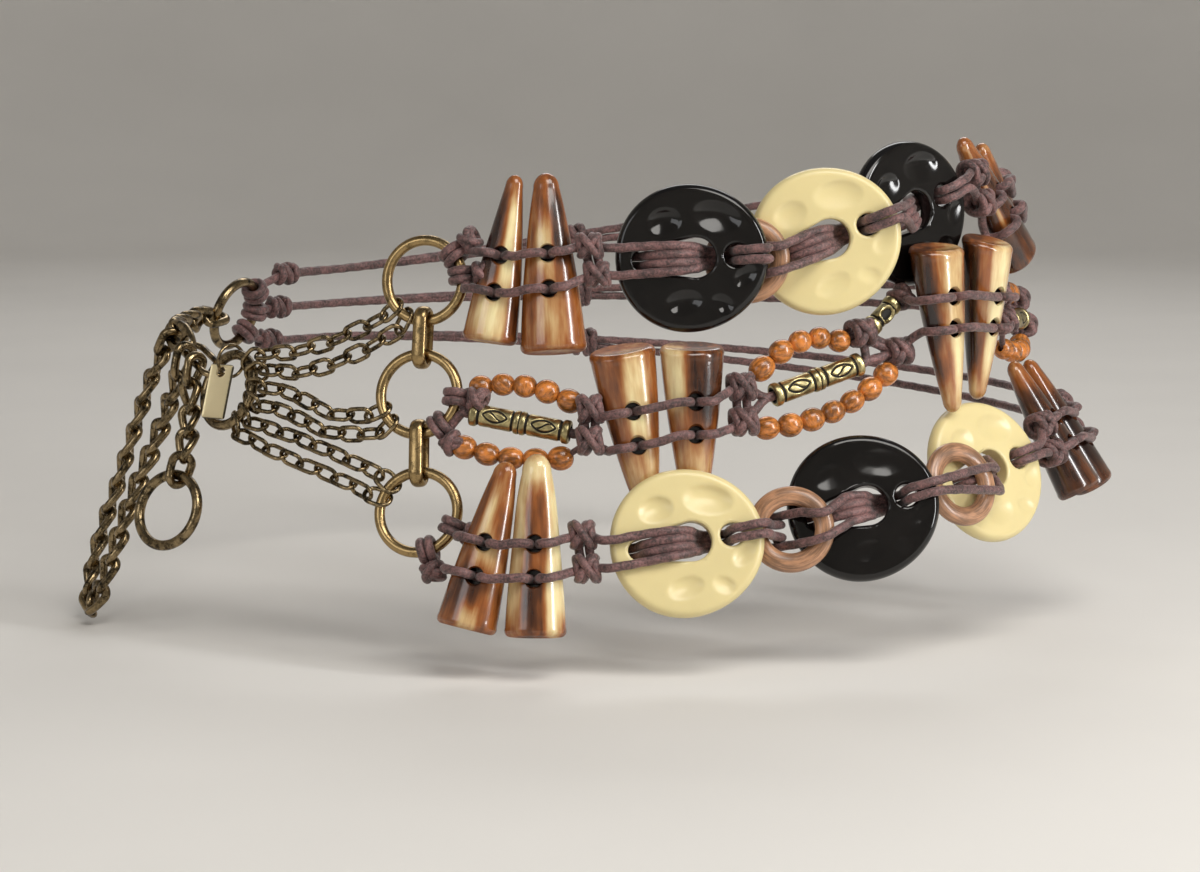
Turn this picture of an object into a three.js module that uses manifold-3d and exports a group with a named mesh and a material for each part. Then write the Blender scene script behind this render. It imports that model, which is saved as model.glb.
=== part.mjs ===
// A three-strand hip belt of knotted cord, horn beads, pierced discs and chains, in the form it has when worn.
// Millimetres, +Z up, front towards -Y. The origin is in the middle of the hips, level with the belt's middle strand.
import * as THREE from "three";
import { mergeVertices } from "three/addons/utils/BufferGeometryUtils.js";
import Module from "manifold-3d";

const wasm = await Module();
wasm.setup();

// The hips that the belt lies on: an oval that widens downwards, fastest at flareHeight
const HIPS = { meanHalfWidth: 138, flare: 28, flareHeight: -20, flareSpan: 60, depthShare: 0.72 };
const GAP = 0.3; // air between neighbouring pieces

const CORD = { radius: 1.3, sides: 5 };
const KNOT = { radius: 3.6, halfLength: 4, loopRadius: 3.4 };
const BEAD = { radius: 3.35, neck: 0.9, sides: 10 };
const LADDER_RING = { radius: 11.25, wire: 1.5, lift: 4.5 };
const CHAIN_RING = { radius: 10.5, wire: 1.5 };
const CONNECTOR = { depth: 7, band: 4, wall: 1.1 };
const DISC = { radius: 20.75, thickness: 5, bevel: 1.6, points: 14 };
const SLOT = { wideX: 0.8, wideRadius: 6.2, narrowX: -13.3, narrowRadius: 2.8 };
const SMALL_HOLE = { x: 12.4, radius: 3.1 };
const WOOD_RING = { radius: 9.3, wire: 2.7, flatness: 0.74 };
const HORN = { depthShare: 0.8, holeRadius: 3.1, sides: 10 };
const TUBE = { length: 28.5, collar: 3.35, body: 3, bore: 1.9, sides: 10 };
const EYE_BEAD = { length: 11, collar: 2.9, body: 2.5, bore: 1.9, sides: 10 };
const TAG = { width: 8, length: 16, thickness: 1, corner: 1, holeRadius: 1.6, holeInset: 2.3, lean: 5, tilt: -14 };
const JUMP_RING = { radius: 4.6, wire: 0.5 };
const CURB = { pitch: 9.3, width: 8.6, wire: 1, overlap: 0.35 };
const CLASP = { length: 17, height: 9.5, thickness: 2.6, slotX: -2.2, slotLength: 8, slotHeight: 4.4, eyeX: 5, eyeRadius: 2.3 };
const CLASP_LINK = { width: 9.4, wire: 1, roll: -74 };
const CABLE = { radius: 2.1, sides: 8 };

const METAL = { metalness: 1, roughness: 0.38 };
const MATERIALS = {
  brass: new THREE.MeshStandardMaterial({ color: 0x9a7b45, ...METAL }),
  darkBronze: new THREE.MeshStandardMaterial({ color: 0x54452f, ...METAL }),
  paleBrass: new THREE.MeshStandardMaterial({ color: 0xd9c38c, ...METAL }),
  tubeBrass: new THREE.MeshStandardMaterial({ color: 0xa9986a, ...METAL }),
  cord: new THREE.MeshStandardMaterial({ color: 0x6b4a4a, roughness: 0.7 }),
  horn: new THREE.MeshStandardMaterial({ color: 0x8a4a1e, roughness: 0.2 }),
  black: new THREE.MeshStandardMaterial({ color: 0x0c0b0a, roughness: 0.12 }),
  cream: new THREE.MeshStandardMaterial({ color: 0xf2e7b0, roughness: 0.35 }),
  beadWood: new THREE.MeshStandardMaterial({ color: 0xa85f25, roughness: 0.35 }),
  ringWood: new THREE.MeshStandardMaterial({ color: 0xb07a58, roughness: 0.5 }),
};

// Places on the hips. turn is in degrees from the front, towards +X. lift stands off the hips, tilt raises the
// piece's right edge, and lean turns it anticlockwise as seen from outside.
const LADDER = [
  { name: "ring_top", turn: -24.9, height: 37.3 },
  { name: "ring_middle", turn: -23.7, height: 5.8 },
  { name: "ring_bottom", turn: -21.2, height: -25.8 },
];
const GATHERING_SPOT = { turn: -55.6, height: 2.6, lift: 4.5 };
const END_RING_SPOT = { turn: -58.5, height: -32.5, lift: 5.5, tilt: -15 };
const BACK_RING_SPOT = { turn: 248, height: 16, lift: 3 };
const CLASP_SPOT = { turn: -74, height: 13.6, lift: 7.8, lean: -14, tilt: -18 };

// baseLift and tipLift are the lifts of a horn's axis at its ends, near and far its holes' distances from the base.
const HORNS = [
  { name: "horn_top_1", turn: -14, height: 44, lean: -7, baseLift: 7, tipLift: 3, length: 47, base: 15.5, near: 13.5, far: 24, tipUp: true },
  { name: "horn_top_2", turn: -7.6, height: 43, lean: 4, baseLift: 8, tipLift: 3, length: 50, base: 18.5, near: 17, far: 27, tipUp: true },
  { name: "horn_top_3", turn: 70.6, height: 56.5, lean: 36, baseLift: 7, tipLift: 3, length: 46, base: 16, near: 16, far: 25.5, tipUp: true },
  { name: "horn_top_4", turn: 82.5, height: 54.5, lean: 29, baseLift: 5, tipLift: 1, length: 42, base: 16, near: 16, far: 25.5, tipUp: true },
  { name: "horn_middle_1", turn: 3.2, height: -3, lean: 9, baseLift: 8.6, tipLift: 1.8, length: 45, base: 18.5, near: 17.5, far: 27, tipUp: false },
  { name: "horn_middle_2", turn: 10.2, height: -2.6, lean: 0, baseLift: 8.6, tipLift: 1.8, length: 45, base: 18, near: 15.5, far: 24.5, tipUp: false },
  { name: "horn_middle_3", turn: 46, height: 20, lean: 2, baseLift: 15.8, tipLift: 10.4, length: 47, base: 17, near: 14.5, far: 23.5, tipUp: false },
  { name: "horn_middle_4", turn: 57, height: 22, lean: -5, baseLift: 14.8, tipLift: 2.6, length: 46, base: 17, near: 16, far: 25, tipUp: false },
  { name: "horn_bottom_1", turn: -12.6, height: -34.3, lean: -12, baseLift: 7.5, tipLift: 9.9, length: 47, base: 17, near: 14.5, far: 24, tipUp: true },
  { name: "horn_bottom_2", turn: -7.4, height: -34, lean: 1, baseLift: 7.5, tipLift: 9.9, length: 50, base: 17, near: 15.5, far: 25, tipUp: true },
  { name: "horn_bottom_3", turn: 68.8, height: -11, lean: 6, baseLift: 7, tipLift: 3, length: 43, base: 16, near: 14, far: 23, tipUp: true },
  { name: "horn_bottom_4", turn: 78, height: -12, lean: 6, baseLift: 6, tipLift: 3, length: 43, base: 16, near: 14, far: 23, tipUp: true },
];
// The outline of a horn bead: its half-width as a share of the base's, along its length
const HORN_OUTLINE = [
  { along: 0, share: 1 },
  { along: 0.42, share: 0.77 },
  { along: 0.92, share: 0.36 },
];
const DISCS = [
  { name: "disc_top_1", finish: "black", turn: 10.8, height: 44, lift: 9.5, tilt: 12, lean: 2 },
  { name: "disc_top_2", finish: "cream", turn: 29.6, height: 48, lift: 9.6, tilt: 21, lean: 18 },
  { name: "disc_top_3", finish: "black", turn: 46.2, height: 55, lift: 5, tilt: -2, lean: 20 },
  { name: "disc_bottom_1", finish: "cream", turn: 8.2, height: -33.5, lift: 9, tilt: 4, lean: 8 },
  { name: "disc_bottom_2", finish: "black", turn: 28.4, height: -26.4, lift: 9.6, tilt: 20, lean: 8 },
  { name: "disc_bottom_3", finish: "cream", turn: 49.3, height: -19.4, lift: 5, tilt: 0, lean: 10 },
];
const WOOD_RINGS = [
  { name: "wood_ring_top", turn: 18.6, height: 43.2, lift: 7, tilt: 26 },
  { name: "wood_ring_bottom_1", turn: 19.8, height: -30.7, lift: 7.8, tilt: 19 },
  { name: "wood_ring_bottom_2", turn: 42, height: -22.8, lift: 11, tilt: -1 },
];
const BRASS_TUBES = [
  { name: "brass_tube_1", turn: -10.4, height: -1.2, lift: 4.4, lean: -10 },
  { name: "brass_tube_2", turn: 27, height: 9.5, lift: 4.4, lean: 16 },
  { name: "brass_tube_3", turn: 77, height: 20, lift: 1.5, lean: -3 },
];
const EYE_SPOT = { turn: 38.7, height: 26.3, lift: 5, lean: 37 };
// Each row of wooden beads bows away from the straight line between its end beads
const BEAD_ROWS = [
  { name: "bead_row_1_upper", fromTurn: -15.8, fromHeight: 8.4, toTurn: -4.6, toHeight: 5, bow: 2.2, lift: 3.7, count: 5 },
  { name: "bead_row_1_lower", fromTurn: -17, fromHeight: -8, toTurn: -5.4, toHeight: -10.4, bow: -1.4, lift: 3.7, count: 5 },
  { name: "bead_row_2_upper", fromTurn: 19.8, fromHeight: 13.2, toTurn: 31.4, toHeight: 20, bow: 3.7, lift: 3.7, count: 5 },
  { name: "bead_row_2_lower", fromTurn: 19.4, fromHeight: -3, toTurn: 37.8, toHeight: 10, bow: -2.9, lift: 3.7, count: 7 },
  { name: "bead_row_3_upper", fromTurn: 68.8, fromHeight: 28, toTurn: 84.6, toHeight: 27, bow: 0.6, lift: 2, count: 5 },
  { name: "bead_row_3_lower", fromTurn: 69.8, fromHeight: 13, toTurn: 84.2, toHeight: 12, bow: -1.4, lift: 0.6, count: 5 },
];

const degrees = THREE.MathUtils.degToRad;
const vector = (x, y, z) => new THREE.Vector3(x, y, z);

function flareAt(height) {
  return Math.tanh((height - HIPS.flareHeight) / HIPS.flareSpan);
}

// The hips' outward direction is the gradient of x^2 + (y / depthShare)^2 - halfWidth(z)^2.
function axesAt({ turn, height }) {
  const angle = degrees(turn);
  const slope = (-HIPS.flare / HIPS.flareSpan) * (1 - flareAt(height) ** 2);
  const out = vector(Math.sin(angle), -Math.cos(angle) / HIPS.depthShare, -slope).normalize();
  const around = vector(Math.cos(angle), HIPS.depthShare * Math.sin(angle), 0).normalize();
  return { around, up: out.clone().cross(around), out };
}

function pointAt({ turn, height, lift = 0 }) {
  const halfWidth = HIPS.meanHalfWidth - HIPS.flare * flareAt(height);
  const angle = degrees(turn);
  const onHips = vector(halfWidth * Math.sin(angle), -HIPS.depthShare * halfWidth * Math.cos(angle), height);
  return onHips.addScaledVector(axesAt({ turn, height }).out, lift);
}

function outwardFrom(point) {
  const turn = THREE.MathUtils.radToDeg(Math.atan2(point.x, -point.y / HIPS.depthShare));
  return axesAt({ turn, height: point.z }).out;
}

// A piece's frame: x runs around the hips, y up them and z out of them.
function frameAt(spot) {
  const { around, up, out } = axesAt(spot);
  const { lean = 0, tilt = 0, pitch = 0 } = spot;
  const turned = new THREE.Euler(degrees(pitch), degrees(-tilt), degrees(lean), "YZX");
  return new THREE.Matrix4()
    .makeBasis(around, up, out)
    .setPosition(pointAt(spot))
    .multiply(new THREE.Matrix4().makeRotationFromEuler(turned));
}

// A frame between two points, with x along them and z as nearly outwards as it can be
function frameAlong(from, to) {
  const along = to.clone().sub(from).normalize();
  const centre = from.clone().add(to).multiplyScalar(0.5);
  const out = outwardFrom(centre);
  out.addScaledVector(along, -out.dot(along)).normalize();
  return new THREE.Matrix4().makeBasis(along, out.clone().cross(along), out).setPosition(centre);
}

const belt = new THREE.Group();
const pieces = {};

function add(name, geometry, material, spot) {
  const mesh = new THREE.Mesh(geometry, material);
  mesh.name = name;
  if (spot) frameAt(spot).decompose(mesh.position, mesh.quaternion, mesh.scale);
  mesh.updateMatrix();
  belt.add(mesh);
  pieces[name] = mesh;
  return mesh;
}

// Adds a piece whose x runs between two points.
function addAlong(name, geometry, material, from, to) {
  const mesh = add(name, geometry, material);
  frameAlong(from, to).decompose(mesh.position, mesh.quaternion, mesh.scale);
  mesh.updateMatrix();
}

// A point given in a piece's own frame, in the belt's frame
const on = (name, x, y, z) => vector(x, y, z).applyMatrix4(pieces[name].matrix);

function toSolid(geometry) {
  const bare = new THREE.BufferGeometry();
  bare.setAttribute("position", geometry.getAttribute("position").clone());
  if (geometry.index) bare.setIndex(geometry.index.clone());
  const merged = mergeVertices(bare, 1e-4);
  return new wasm.Manifold(
    new wasm.Mesh({
      numProp: 3,
      vertProperties: merged.attributes.position.array,
      triVerts: new Uint32Array(merged.index.array),
    }),
  );
}

function toGeometry(solid) {
  const { vertProperties, triVerts } = solid.getMesh();
  const geometry = new THREE.BufferGeometry();
  geometry.setAttribute("position", new THREE.BufferAttribute(new Float32Array(vertProperties), 3));
  geometry.setIndex(new THREE.BufferAttribute(new Uint32Array(triVerts), 1));
  return geometry;
}

function fuse(geometries) {
  const solids = geometries.map(toSolid);
  return toGeometry(solids.reduce((joined, solid) => joined.add(solid)));
}

function carve(geometry, cutters) {
  const start = toSolid(geometry);
  return toGeometry(cutters.reduce((left, cutter) => left.subtract(toSolid(cutter)), start));
}

function circlePoints(radius, count, centreX = 0, from = 0, sweep = 2 * Math.PI) {
  const closed = Math.abs(sweep) >= 2 * Math.PI;
  const steps = closed ? count : count - 1;
  return Array.from({ length: count }, (_, i) => {
    const angle = from + (sweep * i) / steps;
    return new THREE.Vector2(centreX + radius * Math.cos(angle), radius * Math.sin(angle));
  });
}

// A closed solid round a line of points, each with its radius. The first section faces out of the hips, and each
// further one is turned no more than the line turns.
function sweep(stations, sides) {
  const positions = [];
  const indices = [];
  const last = stations.length - 1;
  let side = outwardFrom(stations[0].point);
  stations.forEach(({ point, radius }, i) => {
    const before = stations[Math.max(i - 1, 0)].point;
    const after = stations[Math.min(i + 1, last)].point;
    const along = after.clone().sub(before).normalize();
    side = side.clone().addScaledVector(along, -side.dot(along)).normalize();
    const other = along.clone().cross(side);
    for (const corner of circlePoints(radius, sides)) {
      const place = point.clone().addScaledVector(side, corner.x).addScaledVector(other, corner.y);
      positions.push(place.x, place.y, place.z);
    }
  });
  for (let j = 0; j < sides; j++) {
    const next = (j + 1) % sides;
    for (let i = 0; i < last; i++) {
      const [a, b] = [i * sides + j, i * sides + next];
      indices.push(a, b, b + sides, a, b + sides, a + sides);
    }
    if (j > 0 && j < sides - 1) indices.push(0, next, j, last * sides, last * sides + j, last * sides + next);
  }
  const geometry = new THREE.BufferGeometry();
  geometry.setAttribute("position", new THREE.BufferAttribute(new Float32Array(positions), 3));
  geometry.setIndex(indices);
  return geometry;
}

function ringGeometry({ radius, wire }, segments = 12) {
  return new THREE.TorusGeometry(radius, wire, 5, segments);
}

// A connector is a flat band bent into a long loop along x, open across y.
function connectorGeometry(innerLength) {
  const innerRadius = CONNECTOR.depth / 2 - CONNECTOR.wall;
  const halfRun = innerLength / 2 - innerRadius;
  const racetrack = (radius) => {
    const right = circlePoints(radius, 5, halfRun, -Math.PI / 2, Math.PI);
    const left = circlePoints(radius, 5, -halfRun, Math.PI / 2, Math.PI);
    return new THREE.Shape([...right, ...left]);
  };
  const band = racetrack(CONNECTOR.depth / 2);
  band.holes.push(racetrack(innerRadius));
  const geometry = new THREE.ExtrudeGeometry(band, { depth: CONNECTOR.band, bevelEnabled: false });
  return geometry.translate(0, 0, -CONNECTOR.band / 2).rotateX(Math.PI / 2);
}

// The half-width of a horn bead at a distance from its base, between the rows of its outline
function hornHalfWidth(horn, distance) {
  const along = distance / horn.length;
  const next = HORN_OUTLINE.findIndex((row) => row.along > along);
  const a = HORN_OUTLINE[next - 1];
  const b = HORN_OUTLINE[next];
  const share = THREE.MathUtils.mapLinear(along, a.along, b.along, a.share, b.share);
  return (share * horn.base) / 2;
}

function hornGeometry(horn) {
  const outline = HORN_OUTLINE.map(
    ({ along, share }) => new THREE.Vector2((share * horn.base) / 2, (along - 0.5) * horn.length),
  );
  const profile = [new THREE.Vector2(0, -horn.length / 2), ...outline, new THREE.Vector2(0, horn.length / 2)];
  const body = new THREE.LatheGeometry(profile, HORN.sides).scale(1, 1, HORN.depthShare);
  const drills = [horn.near, horn.far].map((distance) =>
    new THREE.CylinderGeometry(HORN.holeRadius, HORN.holeRadius, 2 * horn.base, 6)
      .rotateX(Math.PI / 2)
      .translate(0, distance - horn.length / 2, 0),
  );
  const drilled = carve(body, drills);
  return horn.tipUp ? drilled : drilled.rotateZ(Math.PI);
}

// A horn leans towards the hips from its base to its tip.
function hornSpot(horn) {
  const slope = THREE.MathUtils.radToDeg(Math.atan((horn.baseLift - horn.tipLift) / horn.length));
  return { ...horn, lift: (horn.baseLift + horn.tipLift) / 2, pitch: horn.tipUp ? -slope : slope };
}

// A pierced disc: a slightly lobed outline, a drop-shaped slot and a small round hole beside it
function discGeometry() {
  const outline = Array.from({ length: DISC.points }, (_, i) => {
    const angle = (2 * Math.PI * i) / DISC.points;
    const radius = DISC.radius * (1 + 0.018 * Math.cos(2 * angle) + 0.012 * Math.cos(3 * angle));
    return new THREE.Vector2(radius * Math.cos(angle), radius * Math.sin(angle));
  });
  const spread = SLOT.wideX - SLOT.narrowX;
  const tangent = Math.PI / 2 + Math.asin((SLOT.wideRadius - SLOT.narrowRadius) / spread);
  const slot = [
    ...circlePoints(SLOT.wideRadius, 6, SLOT.wideX, -tangent, 2 * tangent),
    ...circlePoints(SLOT.narrowRadius, 4, SLOT.narrowX, tangent, 2 * (Math.PI - tangent)),
  ];
  const depth = DISC.thickness - 2 * DISC.bevel;
  const rounding = { bevelThickness: DISC.bevel, bevelSize: DISC.bevel, bevelOffset: -DISC.bevel, bevelSegments: 1 };
  const body = new THREE.ExtrudeGeometry(new THREE.Shape(outline), { depth, ...rounding }).translate(0, 0, -depth / 2);
  const cutDepth = 2 * DISC.thickness;
  const holes = [slot, circlePoints(SMALL_HOLE.radius, 8, SMALL_HOLE.x)].map((points) =>
    new THREE.ExtrudeGeometry(new THREE.Shape(points), { depth: cutDepth, bevelEnabled: false }).translate(
      0,
      0,
      -cutDepth / 2,
    ),
  );
  return carve(body, holes);
}

function woodRingGeometry() {
  return new THREE.TorusGeometry(WOOD_RING.radius, WOOD_RING.wire, 6, 12).scale(1, 1, WOOD_RING.flatness);
}

// A bored tube along x with a collar at each end
function tubeGeometry({ length, collar, body, bore, sides }) {
  const end = length / 2;
  const band = length * 0.09;
  const half = [
    { radius: bore, along: -end },
    { radius: collar, along: -end },
    { radius: collar, along: -end + band },
    { radius: body, along: -end + band + 0.5 },
  ];
  const otherHalf = half.map(({ radius, along }) => ({ radius, along: -along })).reverse();
  const profile = [...half, ...otherHalf, half[0]].map(({ radius, along }) => new THREE.Vector2(radius, along));
  return new THREE.LatheGeometry(profile, sides).rotateZ(-Math.PI / 2);
}

function tagGeometry() {
  const halfWidth = TAG.width / 2;
  const halfLength = TAG.length / 2;
  const plate = new THREE.Shape([
    new THREE.Vector2(-halfWidth + TAG.corner, -halfLength),
    new THREE.Vector2(halfWidth - TAG.corner, -halfLength),
    new THREE.Vector2(halfWidth, -halfLength + TAG.corner),
    new THREE.Vector2(halfWidth, halfLength - TAG.corner),
    new THREE.Vector2(halfWidth - TAG.corner, halfLength),
    new THREE.Vector2(-halfWidth + TAG.corner, halfLength),
    new THREE.Vector2(-halfWidth, halfLength - TAG.corner),
    new THREE.Vector2(-halfWidth, -halfLength + TAG.corner),
  ]);
  const hole = circlePoints(TAG.holeRadius, 8).map((point) => point.add({ x: 0, y: halfLength - TAG.holeInset }));
  plate.holes.push(new THREE.Path(hole));
  const geometry = new THREE.ExtrudeGeometry(plate, { depth: TAG.thickness, bevelEnabled: false });
  return geometry.translate(0, 0, -TAG.thickness / 2);
}

function claspGeometry() {
  const outline = Array.from({ length: 16 }, (_, i) => {
    const angle = (2 * Math.PI * i) / 16;
    const narrowing = 1 - 0.22 * Math.max(0, Math.cos(angle));
    const y = (CLASP.height / 2) * Math.sin(angle) * narrowing;
    return new THREE.Vector2((CLASP.length / 2) * Math.cos(angle), y);
  });
  const end = CLASP.slotHeight / 2;
  const run = CLASP.slotLength / 2 - end;
  const slot = [
    ...circlePoints(end, 4, CLASP.slotX + run, -Math.PI / 2, Math.PI),
    ...circlePoints(end, 4, CLASP.slotX - run, Math.PI / 2, Math.PI),
  ];
  const plate = new THREE.Shape(outline);
  plate.holes.push(new THREE.Path(slot));
  plate.holes.push(new THREE.Path(circlePoints(CLASP.eyeRadius, 8, CLASP.eyeX)));
  const geometry = new THREE.ExtrudeGeometry(plate, { depth: CLASP.thickness, bevelEnabled: false });
  return geometry.translate(0, 0, -CLASP.thickness / 2);
}

// One chain link along x. Its ring is stretched to an oval, and turned about x from startRoll to endRoll.
// The wire has five flats that touch the round wire's surface.
function linkGeometry({ length, width, wire, startRoll, endRoll }) {
  const flats = wire / Math.cos(Math.PI / 5);
  const geometry = new THREE.TorusGeometry(width / 2 - wire, flats, 5, 10);
  const position = geometry.getAttribute("position");
  const stretch = (length - width) / 2;
  for (let i = 0; i < position.count; i++) {
    const x = position.getX(i) + Math.sign(position.getX(i)) * stretch;
    const share = THREE.MathUtils.clamp(x / length + 0.5, 0, 1);
    const roll = degrees(THREE.MathUtils.lerp(startRoll, endRoll, share));
    const y = position.getY(i);
    const z = position.getZ(i);
    position.setXYZ(i, x, y * Math.cos(roll) - z * Math.sin(roll), y * Math.sin(roll) + z * Math.cos(roll));
  }
  return geometry;
}

// The points where neighbouring links touch: a whole number of equal chords, close to the pitch, along a route
function linkJoints(route, pitch) {
  const samples = route.getSpacedPoints(800);
  const step = (chord) => {
    const joints = [samples[0]];
    for (const sample of samples) if (sample.distanceTo(joints.at(-1)) >= chord) joints.push(sample);
    return joints;
  };
  const count = Math.max(1, Math.round(route.getLength() / pitch));
  let low = pitch * 0.7;
  let high = pitch * 1.4;
  for (let round = 0; round < 30; round++) {
    const middle = (low + high) / 2;
    if (step(middle).length > count) low = middle;
    else high = middle;
  }
  return step(low);
}

function chainGeometry(route, { pitch, width, wire, overlap }, firstRoll, lastRoll) {
  const joints = linkJoints(route, pitch);
  const links = joints.slice(1).map((joint, i) => {
    const length = joint.distanceTo(joints[i]) - overlap + 4 * wire;
    const startRoll = i === 0 ? firstRoll : -45;
    const endRoll = i === joints.length - 2 ? lastRoll : 45;
    return linkGeometry({ length, width, wire, startRoll, endRoll }).applyMatrix4(frameAlong(joints[i], joint));
  });
  return fuse(links);
}

// Metal: the ladder of rings, the rings that the chains end in, the clasp and the tag
for (const ring of LADDER) {
  add(ring.name, ringGeometry(LADDER_RING), MATERIALS.brass, { ...ring, lift: LADDER_RING.lift });
}
add("gathering_ring", ringGeometry(CHAIN_RING), MATERIALS.darkBronze, GATHERING_SPOT);
add("end_ring", ringGeometry(CHAIN_RING), MATERIALS.darkBronze, END_RING_SPOT);
add("back_ring", ringGeometry(CHAIN_RING), MATERIALS.darkBronze, BACK_RING_SPOT);
add("clasp", claspGeometry(), MATERIALS.darkBronze, CLASP_SPOT);

// The wire of a ring at an angle, moved some millimetres towards the ring's centre
function onWire(name, { radius }, angle, inside = 0) {
  const reach = radius - inside;
  return on(name, reach * Math.cos(degrees(angle)), reach * Math.sin(degrees(angle)), 0);
}

// The wire of a ring on its side towards another ring
function wireTowards(name, size, otherName) {
  const toOther = pieces[otherName].position.clone().applyMatrix4(pieces[name].matrix.clone().invert());
  return onWire(name, size, THREE.MathUtils.radToDeg(Math.atan2(toOther.y, toOther.x)));
}

// Each connector holds the nearest wires of one ring and the next.
LADDER.slice(1).forEach((ring, i) => {
  const above = LADDER[i];
  const from = wireTowards(above.name, LADDER_RING, ring.name);
  const to = wireTowards(ring.name, LADDER_RING, above.name);
  const innerLength = from.distanceTo(to) + 2 * (LADDER_RING.wire + 3 * GAP);
  addAlong(["connector_upper", "connector_lower"][i], connectorGeometry(innerLength), MATERIALS.brass, from, to);
});

// The long link runs from the clasp's eye to the gathering ring, with its lower side turned outwards.
const claspEye = on("clasp", CLASP.eyeX - 1.5 * GAP, 0, 0);
const hookOver = CHAIN_RING.wire + 2.5 * GAP + CLASP_LINK.wire;
const gatheringHook = onWire("gathering_ring", CHAIN_RING, 150, hookOver);
const claspLink = linkGeometry({
  length: claspEye.distanceTo(gatheringHook) + 2 * CLASP_LINK.wire,
  width: CLASP_LINK.width,
  wire: CLASP_LINK.wire,
  startRoll: CLASP_LINK.roll,
  endRoll: CLASP_LINK.roll,
});
addAlong("clasp_link", claspLink, MATERIALS.darkBronze, claspEye, gatheringHook);

// The tag hangs on its jump ring from the gathering ring's upper left.
const TAG_SPOT = { angle: 100, jumpDrop: 2, jumpLift: 0.6, holeDrop: 4, holeLift: 2.3 };
const tagWire = onWire("gathering_ring", CHAIN_RING, TAG_SPOT.angle);
const gatheringAxes = axesAt(GATHERING_SPOT);
const hung = (from, drop, lift) =>
  from.clone().addScaledVector(gatheringAxes.up, -drop).addScaledVector(gatheringAxes.out, lift);
function addHung(name, geometry, material, place, turned) {
  const mesh = add(name, geometry, material, { ...GATHERING_SPOT, ...turned });
  mesh.position.copy(place);
  mesh.updateMatrix();
}
const jumpCentre = hung(tagWire, TAG_SPOT.jumpDrop, TAG_SPOT.jumpLift);
addHung("tag_jump_ring", ringGeometry(JUMP_RING, 10).rotateY(Math.PI / 2), MATERIALS.darkBronze, jumpCentre);
const tagPlate = tagGeometry().translate(0, TAG.holeInset - TAG.length / 2, 0);
const tagPlace = hung(jumpCentre, TAG_SPOT.holeDrop, TAG_SPOT.holeLift);
addHung("tag", tagPlate, MATERIALS.paleBrass, tagPlace, { lean: TAG.lean, tilt: TAG.tilt });

// Beads and discs
for (const horn of HORNS) add(horn.name, hornGeometry(horn), MATERIALS.horn, hornSpot(horn));
for (const disc of DISCS) add(disc.name, discGeometry(), MATERIALS[disc.finish], disc);
for (const ring of WOOD_RINGS) add(ring.name, woodRingGeometry(), MATERIALS.ringWood, ring);
for (const tube of BRASS_TUBES) add(tube.name, tubeGeometry(TUBE), MATERIALS.tubeBrass, tube);
add("eye_bead", tubeGeometry(EYE_BEAD), MATERIALS.tubeBrass, EYE_SPOT);

// A row of round beads: between narrow necks, each bead is two wide sections.
function beadRowGeometry({ fromTurn, fromHeight, toTurn, toHeight, bow, lift, count }) {
  const centreAt = (share) =>
    pointAt({
      turn: THREE.MathUtils.lerp(fromTurn, toTurn, share),
      height: THREE.MathUtils.lerp(fromHeight, toHeight, share) + 4 * bow * share * (1 - share),
      lift,
    });
  const step = 1 / (count - 1);
  const stations = [{ point: centreAt(-step / 2), radius: BEAD.neck }];
  for (let i = 0; i < count; i++) {
    stations.push({ point: centreAt((i - 0.2) * step), radius: BEAD.radius });
    stations.push({ point: centreAt((i + 0.2) * step), radius: BEAD.radius });
    stations.push({ point: centreAt((i + 0.5) * step), radius: BEAD.neck });
  }
  return sweep(stations, BEAD.sides);
}
for (const row of BEAD_ROWS) add(row.name, beadRowGeometry(row), MATERIALS.beadWood);

// The way of a cord past a disc, in the disc's own frame: over the rim, down the slot, behind, up the small hole
const DISC_WAY = [
  { x: -21.5, y: 3.8, z: 4.3 },
  { x: -4, y: 3.3, z: 4.3 },
  { x: 1.5, y: 2.6, z: 0 },
  { x: 4.8, y: 2, z: -4.5 },
  { x: 11.2, y: 1, z: -4.5 },
  { x: 13.2, y: 1, z: 4.4 },
  { x: 21.6, y: 1.5, z: 4.4 },
];

// Stops along a strand. points gives the places that its upper cord, side 1, or lower cord, side -1, goes through.
const loops = (ring, size, angles) => {
  const centre = on(ring, 0, 0, 0);
  const wireAt = (side) => onWire(ring, size, side > 0 ? angles[0] : angles[1]);
  const away = (side) => wireAt(side).sub(centre).normalize();
  const geometries = [1, -1].map((side) => {
    const alongWire = away(side).cross(outwardFrom(centre)).normalize();
    const turned = new THREE.Quaternion().setFromUnitVectors(vector(0, 0, 1), alongWire);
    const wire = wireAt(side);
    return new THREE.TorusGeometry(KNOT.loopRadius, CORD.radius, CORD.sides, 6)
      .applyQuaternion(turned)
      .translate(wire.x, wire.y, wire.z);
  });
  return { points: (side) => [wireAt(side).addScaledVector(away(side), KNOT.loopRadius)], geometries };
};

const knots = (upper, lower, lift) => ({
  points: (side) => [pointAt({ ...(side > 0 ? upper : lower), lift })],
  knotted: true,
});

const upperKnot = (place, lift) => ({
  points: (side) => (side > 0 ? [pointAt({ ...place, lift })] : []),
  knotted: true,
});

const horn = (name) => {
  const row = HORNS.find((candidate) => candidate.name === name);
  const points = (side) => {
    const distance = side > 0 === row.tipUp ? row.far : row.near;
    const y = (row.tipUp ? 1 : -1) * (distance - row.length / 2);
    const front = HORN.depthShare * hornHalfWidth(row, distance) + CORD.radius;
    return [-1, 1].map((end) => on(name, 3.4 * end, y, front + 2 * GAP));
  };
  return { points };
};

const disc = (name, startX = -30) => ({
  points: (side) => DISC_WAY.filter(({ x }) => x > startX).map(({ x, y, z }) => on(name, x, side * y, z)),
});

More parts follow.
